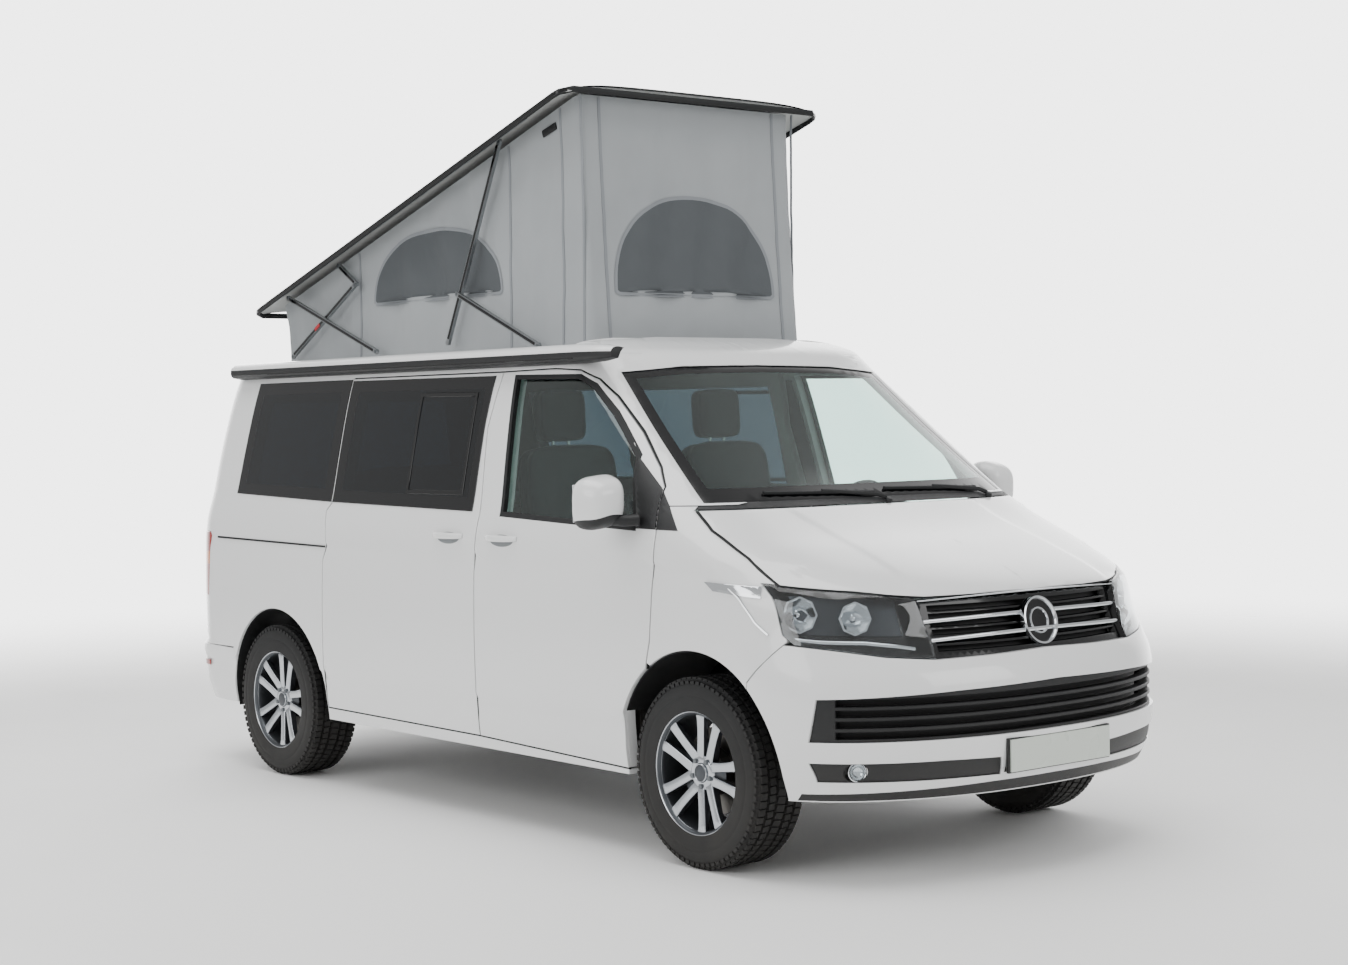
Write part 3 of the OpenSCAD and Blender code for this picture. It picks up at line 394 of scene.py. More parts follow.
def panel_parts(keep, cut=(), within=(), depth=(0.0, WALL), edge=1.6, step=(40.0, 30.0), zones=(),
                mirror=False, pressed=True):
    """Points, faces and zone of each face for one panel cut from the body's form."""
    outlines = list(keep) + list(cut) + list(within) + list(zones)
    spots = np.concatenate([np.array(o, float) for o in keep])
    low, high = spots.min(0), spots.max(0)
    if within:
        w = np.concatenate([np.array(o, float) for o in within])
        low, high = np.maximum(low, w.min(0)), np.minimum(high, w.max(0))
    us = np.arange(low[0] + step[0] / 2, high[0], step[0])
    zs = np.arange(low[1] + step[1] / 2, high[1], step[1])
    grid = np.array([(u + (step[0] / 2 if j % 2 else 0), z) for j, z in enumerate(zs) for u in us])
    grid = grid.reshape(-1, 2)

    def region(p):
        ok = in_any(p, keep) & ~in_any(p, cut)
        return ok & in_any(p, within) if within else ok

    grid = grid[region(grid)]
    grid = grid[~near_edges(grid, outlines, 0.42 * min(step))]
    flat, tris = filled(outlines, grid)
    mid = flat[tris].mean(1)
    ok = region(mid)
    tris, mid = tris[ok], mid[ok]
    area = areas(flat, tris)
    good = np.abs(area) > 0.02
    tris, mid, area = tris[good], mid[good], area[good]
    tris = np.where((area > 0)[:, None], tris, tris[:, ::-1])
    zone = np.zeros(len(tris), int)
    for k, o in enumerate(zones):
        zone[inside(mid, o)] = k + 1
    used = np.unique(tris)
    index = np.full(len(flat), -1)
    index[used] = np.arange(len(used))
    flat, tris = flat[used], index[tris]
    # Rim edges are those with one triangle.
    seen = {}
    for t, (i, j, k) in enumerate(tris):
        for p, q in ((i, j), (j, k), (k, i)):
            seen[(p, q)] = t
    rim = [(p, q) for (p, q) in seen if (q, p) not in seen]
    inward = np.zeros_like(flat)
    for p, q in rim:
        d = flat[q] - flat[p]
        n = np.array([-d[1], d[0]]) / max(1e-6, np.hypot(*d))
        inward[p] += n
        inward[q] += n
    size = np.hypot(inward[:, 0], inward[:, 1])
    moved = flat + inward / np.maximum(size, 1e-6)[:, None] * edge * (size > 1e-6)[:, None]
    rim_ids = sorted({p for e in rim for p in e})
    place = {p: i for i, p in enumerate(rim_ids)}

    def lift(f, inset, outer):
        p = body_point(f[:, 0], f[:, 1], inset)
        if outer and pressed:
            p = body_point(f[:, 0], f[:, 1], inset + relief(p[:, 0], p[:, 1], p[:, 2]))
        return p

    n = len(flat)
    outer = lift(moved, depth[0], True)
    lip = lift(flat[rim_ids], depth[0] + edge, True)
    inner = lift(flat, depth[1], False)
    points = np.concatenate([outer, lip, inner])
    if mirror:
        points[:, 1] *= -1
    lip_at, inner_at = n, n + len(rim_ids)
    faces = [tuple(t[::-1]) for t in tris]
    faces += [(t[0] + inner_at, t[1] + inner_at, t[2] + inner_at) for t in tris]
    marks = list(zone) + list(zone)
    for p, q in rim:
        faces += [(p, q, lip_at + place[q], lip_at + place[p]),
                  (lip_at + place[p], lip_at + place[q], inner_at + q, inner_at + p)]
        k = int(zone[seen[(p, q)]])
        marks += [k, k]
    if mirror:
        faces = [f[::-1] for f in faces]
    return points, faces, marks


def panel(name, materials, *parts):
    """One object from one or more panel_parts results."""
    points, faces, marks, base = [], [], [], 0
    for p, f, m in parts:
        points.append(p)
        faces += [tuple(i + base for i in face) for face in f]
        marks += list(m)
        base += len(p)
    return mesh_object(name, np.concatenate(points), faces, materials, marks)


# ---------------------------------------------------------------- materials


def rgb(hexa):
    """sRGB hex to a linear colour."""
    c = [int(hexa[i:i + 2], 16) / 255 for i in (0, 2, 4)]
    return tuple(v / 12.92 if v <= 0.04045 else ((v + 0.055) / 1.055) ** 2.4 for v in c) + (1.0,)


def node(tree, kind, settings=None, **inputs):
    """Adds a node with its settings; an input is a value or another node's socket."""
    made = tree.nodes.new(kind)
    for key, value in (settings or {}).items():
        setattr(made, key, value)
    for key, value in inputs.items():
        key = key.replace("_", " ")
        at = made.inputs[int(key)] if key.isdigit() else made.inputs[key]
        if isinstance(value, bpy.types.NodeSocket):
            tree.links.new(value, at)
        else:
            at.default_value = value
    return made


def combine(tree, operation, a, b=None, kind="ShaderNodeMath"):
    """Socket with the result of a sum on one or two sockets or values."""
    made = tree.nodes.new(kind)
    made.operation = operation
    for k, value in enumerate((a, b)):
        if isinstance(value, bpy.types.NodeSocket):
            tree.links.new(value, made.inputs[k])
        elif value is not None:
            made.inputs[k].default_value = value
    return made.outputs[0]


def surface_material(name, colour, rough, worn=None, grain=0.0, bump=0.0, patch=0.0, dust=0.0, **shader):
    """Principled material: colour varies with slow patches, grain is the bump's spacing in mm."""
    if name in bpy.data.materials:
        return bpy.data.materials[name]
    material = bpy.data.materials.new(name)
    material.use_nodes = True
    tree = material.node_tree
    tree.nodes.clear()
    out = node(tree, "ShaderNodeOutputMaterial")
    bsdf = node(tree, "ShaderNodeBsdfPrincipled")
    tree.links.new(bsdf.outputs["BSDF"], out.inputs["Surface"])
    for key, value in shader.items():
        bsdf.inputs[key.replace("_", " ")].default_value = value
    where = node(tree, "ShaderNodeTexCoord").outputs["Object"]
    slow = node(tree, "ShaderNodeTexNoise", Vector=where, Scale=2.3, Detail=3.0)
    base = rgb(colour)
    second = rgb(worn) if worn else tuple(v * (1 - patch) for v in base[:3]) + (1.0,)
    mix = node(tree, "ShaderNodeMix", {"data_type": "RGBA"})
    tree.links.new(slow.outputs["Fac"], mix.inputs[0])
    mix.inputs[6].default_value, mix.inputs[7].default_value = base, second
    last = mix.outputs[2]
    if dust:
        height = node(tree, "ShaderNodeSeparateXYZ", Vector=where).outputs["Z"]
        low = node(tree, "ShaderNodeMapRange", Value=height, From_Min=0.62, From_Max=0.22,
                   To_Min=0.0, To_Max=dust).outputs["Result"]
        fleck = node(tree, "ShaderNodeTexNoise", Vector=where, Scale=9.0, Detail=5.0)
        dusty = node(tree, "ShaderNodeMix", {"data_type": "RGBA"})
        tree.links.new(combine(tree, "MULTIPLY", low, fleck.outputs["Fac"]), dusty.inputs[0])
        tree.links.new(last, dusty.inputs[6])
        dusty.inputs[7].default_value = rgb("9b9184")
        last = dusty.outputs[2]
    tree.links.new(last, bsdf.inputs["Base Color"])
    swing = node(tree, "ShaderNodeMapRange", Value=slow.outputs["Fac"], From_Min=0.3, From_Max=0.7,
                 To_Min=max(0.0, rough * 0.88), To_Max=min(1.0, rough * 1.12))
    tree.links.new(swing.outputs["Result"], bsdf.inputs["Roughness"])
    if grain:
        fine = node(tree, "ShaderNodeTexNoise", Vector=where, Scale=1000.0 / grain, Detail=2.0)
        lift = node(tree, "ShaderNodeBump", Strength=bump, Distance=0.001, Height=fine.outputs["Fac"])
        tree.links.new(lift.outputs["Normal"], bsdf.inputs["Normal"])
    return material


def woven_material(name, colour, second, pitch, bump, rough=0.85, sheen=0.25):
    """Plain weave: two crossed wave patterns, pitch is the thread spacing in mm."""
    if name in bpy.data.materials:
        return bpy.data.materials[name]
    material = surface_material(name, colour, rough, worn=second, Sheen_Weight=sheen,
                                Sheen_Roughness=0.5)
    tree = material.node_tree
    bsdf = next(n for n in tree.nodes if n.type == "BSDF_PRINCIPLED")
    where = node(tree, "ShaderNodeTexCoord").outputs["Object"]
    waves = []
    for axis in ("DIAGONAL", "Z"):
        wave = node(tree, "ShaderNodeTexWave", {"wave_type": "BANDS", "bands_direction": axis},
                    Vector=where, Scale=1000.0 / pitch / 6.2832 * 2)
        waves.append(wave.outputs["Fac"])
    cross = combine(tree, "MULTIPLY", *waves)
    lift = node(tree, "ShaderNodeBump", Strength=bump, Distance=0.0006, Height=cross)
    tree.links.new(lift.outputs["Normal"], bsdf.inputs["Normal"])
    return material


def finishes():
    """Every finish of the van, each named for its material and process."""
    s = surface_material
    tint = bpy.context.scene.van_finish
    paint_hex = "".join("%02x" % round(255 * c) for c in tint.paint)
    canvas_hex = "".join("%02x" % round(255 * c) for c in tint.canvas)
    f = {}
    # Sprayed two-coat enamel: clear gloss over white with a faint orange peel, road dust low down.
    f["paint"] = s("enamel_white_sprayed", paint_hex, 0.32, patch=0.02, grain=6.0, bump=0.012, dust=0.05,
                   Coat_Weight=0.9, Coat_Roughness=0.04)
    # Moulded polypropylene: fine leather grain, soft sheen, slightly greyed where it is touched.
    f["grained"] = s("polypropylene_black_moulded", "101112", 0.5, worn="17181a", grain=1.6, bump=0.25,
                     dust=0.06)
    # Moulded ABS, polished mould: deep black gloss.
    f["gloss"] = s("abs_black_gloss_moulded", "08090a", 0.14, patch=0.2, grain=9.0, bump=0.01)
    # Chromium plate over ABS: mirror bright with a faint haze.
    f["chrome"] = s("chromium_plated_abs", "dfe2e5", 0.09, patch=0.05, Metallic=1.0)
    # Laminated float glass with a green cast.
    f["glass"] = s("laminated_glass_float", "d5e9e4", 0.015, patch=0.02, Transmission_Weight=1.0, IOR=1.45)
    # Deep tinted tempered glass: nearly black from outside.
    f["privacy"] = s("tempered_glass_privacy", "29323a", 0.02, patch=0.05, Transmission_Weight=0.93,
                     IOR=1.45)
    # Ceramic frit fired on the glass edge: opaque satin black.
    f["frit"] = s("ceramic_frit_fired", "07080a", 0.12, patch=0.2)
    # Injection moulded polycarbonate lens, clear.
    f["lens"] = s("polycarbonate_clear_moulded", "f2f6f8", 0.02, patch=0.02, Transmission_Weight=1.0,
                  IOR=1.5)
    f["red_lens"] = s("acrylic_red_moulded", "8d0d0a", 0.12, worn="a3220f", grain=5.0, bump=0.15,
                      Coat_Weight=0.6, Coat_Roughness=0.05)
    f["amber_lens"] = s("acrylic_amber_moulded", "d9772a", 0.12, patch=0.1, Coat_Weight=0.6)
    # Vacuum metallised reflector bowl.
    f["reflector"] = s("aluminium_vapour_coated", "e9ecee", 0.12, patch=0.06, Metallic=1.0)
    # Extruded EPDM rubber seal: dull black.
    f["rubber"] = s("epdm_rubber_extruded", "0d0e0f", 0.7, worn="16181a", grain=3.0, bump=0.1)
    # Vulcanised tyre tread compound: grey-black, dusty in the low part.
    f["tyre"] = s("tyre_rubber_vulcanised", "121314", 0.74, worn="1b1b1b", grain=2.2, bump=0.3, dust=0.06)
    # Diamond-turned aluminium spoke face under clear lacquer.
    f["alloy"] = s("aluminium_cast_turned", "c3c7cb", 0.24, worn="b3b7bc", grain=1.2, bump=0.03,
                   Metallic=1.0, Coat_Weight=0.5, Coat_Roughness=0.08)
    f["alloy_dark"] = s("aluminium_cast_painted", "55585c", 0.38, worn="46494d", grain=2.0, bump=0.08,
                        Metallic=0.75)
    f["steel"] = s("steel_turned_disc", "8c8a86", 0.35, worn="6e6a66", grain=1.5, bump=0.08, Metallic=1.0)
    f["cast"] = s("iron_cast_sand", "3a3938", 0.6, worn="4a4642", grain=3.0, bump=0.5, Metallic=0.6)
    # Extruded aluminium bar, satin anodised.
    f["anodised"] = s("aluminium_extruded_anodised", "a3a6a8", 0.36, worn="8f9294", grain=1.2, bump=0.05,
                      Metallic=1.0)
    f["chassis"] = s("steel_black_dipped", "1f2123", 0.55, worn="2c2c2c", grain=4.0, bump=0.3, dust=0.4)
    # Door cup behind the handle, grey: painted shade for the shadow that the handle casts into its cup.
    f["cup"] = s("abs_grey_moulded", "7e8284", 0.5, patch=0.1, grain=3.0, bump=0.05)
    f["zinc"] = s("steel_zinc_pressed", "777b7e", 0.42, worn="696d70", grain=4.0, bump=0.1, Metallic=0.8)
    # Acrylic-coated cotton and polyester tent cloth, plain weave drawn at 2.4 mm so that it shows.
    f["canvas"] = woven_material("tent_cloth_coated_weave", canvas_hex, "95999c", 2.4, 0.35)
    f["canvas_seam"] = woven_material("tent_cloth_taped_seam", "898d91", "7d8185", 2.4, 0.3)
    # Knitted insect mesh: darker, open.
    f["mesh"] = s("polyester_mesh_knitted", "4a4e51", 0.8, worn="565a5d", grain=3.0, bump=0.5)
    f["seat_cloth"] = woven_material("seat_cloth_flat_woven", "34373b", "44484c", 3.0, 0.4)
    f["seat_side"] = woven_material("seat_cloth_side_knit", "27292c", "303338", 2.2, 0.3)
    f["dash"] = s("polypropylene_dash_moulded", "24272a", 0.6, worn="2d3033", grain=1.4, bump=0.3)
    f["liner"] = woven_material("headliner_felt_pressed", "b9bbb9", "a9aba9", 3.5, 0.2)
    f["laminate"] = s("laminate_grey_pressed", "a7a39b", 0.4, worn="9a958c", grain=2.5, bump=0.06)
    f["plate"] = s("reflective_sheet_blank", "cfd6cd", 0.3, patch=0.03, grain=2.0, bump=0.05)
    f["red_tab"] = s("acetal_red_moulded", "b3222a", 0.4, patch=0.1)
    return f


class Finishes(dict):
    """Finishes by key, made when the first one is asked for."""

    def __missing__(self, key):
        self.update(finishes())
        return dict.__getitem__(self, key)


FINISH = Finishes()


# ---------------------------------------------------------------- general shapes, in mm


def smooth(obj, angle):
    """Smooth shading that breaks at edges sharper than an angle in degrees."""
    obj.data.shade_smooth()
    obj.data.set_sharp_from_angle(angle=math.radians(angle))
    return obj


def bevelled(obj, width, segments=2, angle=40.0):
    """Rounds the edges of a finished piece's mesh."""
    mod = obj.modifiers.new("edge", "BEVEL")
    mod.width, mod.segments = width * MM, segments
    mod.limit_method, mod.angle_limit = "ANGLE", math.radians(angle)
    bake(obj)
    return smooth(obj, 50)


def quads(rows, n):
    """Faces between neighbouring rows of n points, each row a closed loop."""
    return [(i * n + j, i * n + (j + 1) % n, (i + 1) * n + (j + 1) % n, (i + 1) * n + j)
            for i in range(rows - 1) for j in range(n)]


def bake(obj):
    """Replaces an object's mesh with its evaluated one and removes the modifiers."""
    graph = bpy.context.evaluated_depsgraph_get()
    mesh = bpy.data.meshes.new_from_object(obj.evaluated_get(graph), depsgraph=graph)
    obj.modifiers.clear()
    old = obj.data
    obj.data = mesh
    if old.users == 0:
        bpy.data.meshes.remove(old)
    return obj


def joined(name, objects):
    """One object from several, which are removed."""
    points, faces, marks, mats, base = [], [], [], [], 0
    for o in objects:
        lookup = []
        for m in o.data.materials:
            if m not in mats:
                mats.append(m)
            lookup.append(mats.index(m))
        world = np.array(o.matrix_world)
        co = np.zeros(len(o.data.vertices) * 3)
        o.data.vertices.foreach_get("co", co)
        co = co.reshape(-1, 3) @ world[:3, :3].T + world[:3, 3]
        points.append(co / MM)
        for p in o.data.polygons:
            faces.append([v + base for v in p.vertices])
            marks.append(lookup[p.material_index] if lookup else 0)
        base += len(co)
    for o in objects:
        bpy.data.objects.remove(o)
    return mesh_object(name, np.concatenate(points), faces, mats, marks, sharp=40)


def block(name, low, high, material, round_by=3.0, turn=None):
    """Rounded block between two corners, or turned by a matrix."""
    (x0, y0, z0), (x1, y1, z1) = low, high
    pts = [(x, y, z) for z in (z0, z1) for y in (y0, y1) for x in (x0, x1)]
    faces = [(0, 2, 3, 1), (4, 5, 7, 6), (0, 1, 5, 4), (2, 6, 7, 3), (0, 4, 6, 2), (1, 3, 7, 5)]
    if turn is not None:
        pts = [turn @ Vector(p) for p in pts]
    o = mesh_object(name, pts, faces, [material], sharp=0)
    return bevelled(o, round_by, 2) if round_by else o


def lathe(name, profile, centre, axis, material, count=64, sharp=32.0):
    """Closed shape turned about an axis; profile is (distance along, radius), from end to end."""
    axis = Vector(axis).normalized()
    u = axis.orthogonal().normalized()
    v = axis.cross(u)
    pts, faces, rows = [], [], []
    for along, r in profile:
        if r < 1e-6:
            rows.append([len(pts)])
            pts.append(Vector(centre) + axis * along)
            continue
        row = []
        for i in range(count):
            t = math.tau * i / count
            row.append(len(pts))
            pts.append(Vector(centre) + axis * along + (u * math.cos(t) + v * math.sin(t)) * r)
        rows.append(row)
    for a, b in zip(rows, rows[1:]):
        for i in range(count):
            j = (i + 1) % count
            if len(a) == 1 and len(b) > 1:
                faces.append((a[0], b[j], b[i]))
            elif len(b) == 1 and len(a) > 1:
                faces.append((a[i], a[j], b[0]))
            elif len(a) > 1:
                faces.append((a[i], a[j], b[j], b[i]))
    o = mesh_object(name, pts, faces, [material], sharp=0)
    fix_normals(o)
    return smooth(o, sharp)


def ring_lathe(name, profile, centre, axis, material, count=96, sharp=32.0):
    """Ring turned about an axis from a closed profile of (distance along, radius)."""
    return lathe(name, list(profile) + [profile[0]], centre, axis, material, count, sharp)


def fix_normals(obj):
    """Merges double points and turns every face outwards."""
    work = bmesh.new()
    work.from_mesh(obj.data)
    bmesh.ops.remove_doubles(work, verts=work.verts, dist=1e-6)
    bmesh.ops.recalc_face_normals(work, faces=work.faces)
    work.to_mesh(obj.data)
    work.free()


def sweep(name, path, section, material, up=(0, 0, 1), closed=False, caps=True, scale=None):
    """Section of (across, up) points carried along a path."""
    pts, faces = [], []
    n, m = len(path), len(section)
    path = [Vector(p) for p in path]
    for i, p in enumerate(path):
        a = path[i - 1] if i or closed else p
        b = path[(i + 1) % n] if i < n - 1 or closed else p
        t = (b - a).normalized()
        across = t.cross(Vector(up)).normalized()
        rise = across.cross(t)
        k = scale[i] if scale else 1.0
        pts += [p + across * (s[0] * k) + rise * (s[1] * k) for s in section]
    for i in range(n if closed else n - 1):
        for j in range(m):
            a, b = i * m + j, i * m + (j + 1) % m
            c, d = ((i + 1) % n) * m + (j + 1) % m, ((i + 1) % n) * m + j
            faces.append((a, b, c, d))
    if caps and not closed:
        faces += [tuple(range(m))[::-1], tuple(range((n - 1) * m, n * m))]
    o = mesh_object(name, pts, faces, [material], sharp=0)
    fix_normals(o)
    return smooth(o, 40)


def oval(width, height, count=12, power=2.0):
    """Section of a bar: an ellipse, or squarer with a higher power."""
    out = []
    for i in range(count):
        t = math.tau * i / count
        c, s = math.cos(t), math.sin(t)
        r = (abs(c) ** power + abs(s) ** power) ** (-1 / power)
        out.append((width / 2 * c * r, height / 2 * s * r))
    return out


def mirrored_copy(obj, name):
    """Copy of a piece on the other side of the van."""
    mesh = obj.data.copy()
    mesh.transform(Matrix.Diagonal((1, -1, 1, 1)))
    mesh.flip_normals()
    new = bpy.data.objects.new(name, mesh)
    bpy.context.scene.collection.objects.link(new)
    return new


def place(obj, body, slot=None, nodes=()):
    """Rides a piece on a body and hides the nodes it replaces; the colour slot is not used."""
    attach(obj, body)
    if nodes:
        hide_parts(*nodes)
    return obj


def dress(name, *keys):
    """Better finish for a CAD node whose shape stays."""
    mesh = frame["nodes"][name].data
    mesh.materials.clear()
    for k in keys:
        mesh.materials.append(FINISH[k])


# ---------------------------------------------------------------- operators


class VAN_OT_fixed_body(bpy.types.Operator):
    """Side frames, wings, bumpers and roof skin of the van"""

    bl_idname = "van.fixed_body"
    bl_label = "Fixed body"

    def execute(self, context):
        paint = [FINISH["paint"]]
        expanded = shrink(FRONT_DOOR, -GAP / 2)
        tail_cut = rear(shrink(TAILGATE, -GAP / 2))
        upright = side([(-FAR, 298), (FA - 30, 298), (FA - 30, 1872), (-FAR, 1872)])
        nose_block = side([(FA - 385, 200), (FAR, 200), (FAR, 1296), (FA - 385, 1296)])
        lower_tail = side([(-FAR, 250), (TAIL_END + 629, 250), (TAIL_END + 629, 566), (-FAR, 566)])
        shared = [side(expanded), nose_block, side(QUARTER_HOLE), side(REAR_ARCH), side(REAR_BUMPER),
                  lower_tail, side(TAIL_LAMP), front(SCREEN), tail_cut, side(ROOF_ZONE)]
        for mirror, extra, name in ((False, side(shrink(SLIDING_DOOR, -GAP / 2)), "right"),
                                    (True, side(SLIDING_HOLE), "left")):
            part = panel_parts([upright], shared + [extra], mirror=mirror, step=(46, 34))
            place(panel("side_frame_skin_" + name, paint, part), "van_body", "white_paint",
                  ["side_frame_" + name])
        wing_cut = [side(front_arch_outline()), side(expanded), front(LAMP),
                    front([(-y, z) for y, z in LAMP]), side(shrink(FRONT_BUMPER, -3))]
        wings = [panel_parts([side(shrink(WING, GAP / 2))], wing_cut, mirror=m, step=(30, 24))
                 for m in (False, True)]
        place(panel("front_wings_skin", paint, *wings), "van_body", "white_paint", ["front_wings"])
        plate_recess = [(-262, 374), (262, 374), (262, 490), (-262, 490)]
        cuts = both(side(front_arch_outline())) + [
            front(o) for o in (LOW_GRILLE, FOG_STRIP, [(-y, z) for y, z in FOG_STRIP], plate_recess)]
        bumper = panel_parts(both(side(FRONT_BUMPER)), cuts, within=[front(BUMPER_TOP)], depth=(0, 80),
                             step=(26, 20))
        place(panel("front_bumper_skin", paint, bumper), "van_body", "white_paint", ["front_bumper"])
        centre = U_MARKS[Q_MARKS.index(3)]
        back = panel_parts(both(side(shrink(REAR_BUMPER, 1.5)), centre), both(side(REAR_ARCH), centre),
                           depth=(0, 78), step=(26, 20))
        place(panel("rear_bumper_skin", paint, back), "van_body", "white_paint", ["rear_bumper"])
        self.roof(paint)
        return {"FINISHED"}

    def roof(self, paint):
        """Deck with the tent's opening, its edge band and the cap over the windscreen."""
        cap_end = PANEL_FRONT + 8
        room = side([(-FAR, DECK_Z + 4), (cap_end, DECK_Z + 4), (cap_end, 1990), (-FAR, 1990)])
        cap = panel_parts(both(side([(FA - 944, 1812), (FAR, 1812), (FAR, 1944), (FA - 944, 1944)])),
                          [front(SCREEN)] + both(side([(-FAR, 1700), (FA - 744, 1700), (FA - 744, 1870),
                                                       (-FAR, 1870)])) + both(room),
                          depth=(0, 24), step=(24, 12))
        rise = [(abs(spot(u_side(cap_end, z), z, 5.0)[1]), z)
                for z in np.linspace(DECK_Z - 4, 1938, 12)]
        riser = sweep("roof_riser", [(cap_end, 0, 0), (cap_end + 5, 0, 0)],
                      [(-y, z) for y, z in rise] + rise[::-1], paint[0])
        band_low, band_high = 1871, DECK_Z - 1
        band = panel_parts(
            [[(u, z) for u, z in dense([(1150, band_low), (6000 + 4850, band_low),
                                        (6000 + 4850, band_high), (1150, band_high)], 30)]],
            both(side([(FA - 946, 1800), (FAR, 1800), (FAR, 1990), (FA - 946, 1990)]), 6000)
            + [rear(shrink(TAILGATE, -GAP / 2))], depth=(0, 30), step=(40, 12))
        deck_edge = []
        for u in np.linspace(1300, 10700, 160):
            x, y, _ = spot(u, DECK_Z, 6.0)
            if x < FA - 946:
                deck_edge.append((x, y))
        deck_edge = [(cap_end + 4, deck_edge[0][1])] + deck_edge + [(cap_end + 4, deck_edge[-1][1])]
        hole = dense([(RA + 92 - 470, -548), (FA - 1067, -548), (FA - 1067, 548), (RA + 92 - 470, 548)], 40)
        deck = flat_plate("roof_deck", deck_edge, [hole], DECK_Z - 30, DECK_Z, paint[0])
        skin = joined("roof_shell_skin", [panel("roof_cap", paint, cap), panel("roof_band", paint, band),
                                          deck, riser])
        lip = sweep("tent_frame", [(x, y, DECK_Z + 3) for x, y in hole], oval(26, 12), FINISH["anodised"],
                    closed=True)
        place(skin, "van_body", "white_paint", ["roof_shell"])
        place(lip, "van_body", "link_aluminium")


def flat_plate(name, outline, holes, z0, z1, material):
    """Level plate between two heights."""
    flat, tris = filled([outline, *holes])
    mid = flat[tris].mean(1)
    tris = tris[inside(mid, outline) & ~in_any(mid, holes)]
    tris = np.where((areas(flat, tris) > 0)[:, None], tris, tris[:, ::-1])
    n = len(flat)
    pts = [(x, y, z1) for x, y in flat] + [(x, y, z0) for x, y in flat]
    faces = [tuple(t) for t in tris] + [tuple(t[::-1] + n) for t in tris]
    seen = {(p, q) for t in tris for p, q in ((t[0], t[1]), (t[1], t[2]), (t[2], t[0]))}
    for p, q in seen:
        if (q, p) not in seen:
            faces.append((q, p, p + n, q + n))
    return mesh_object(name, pts, faces, [material])


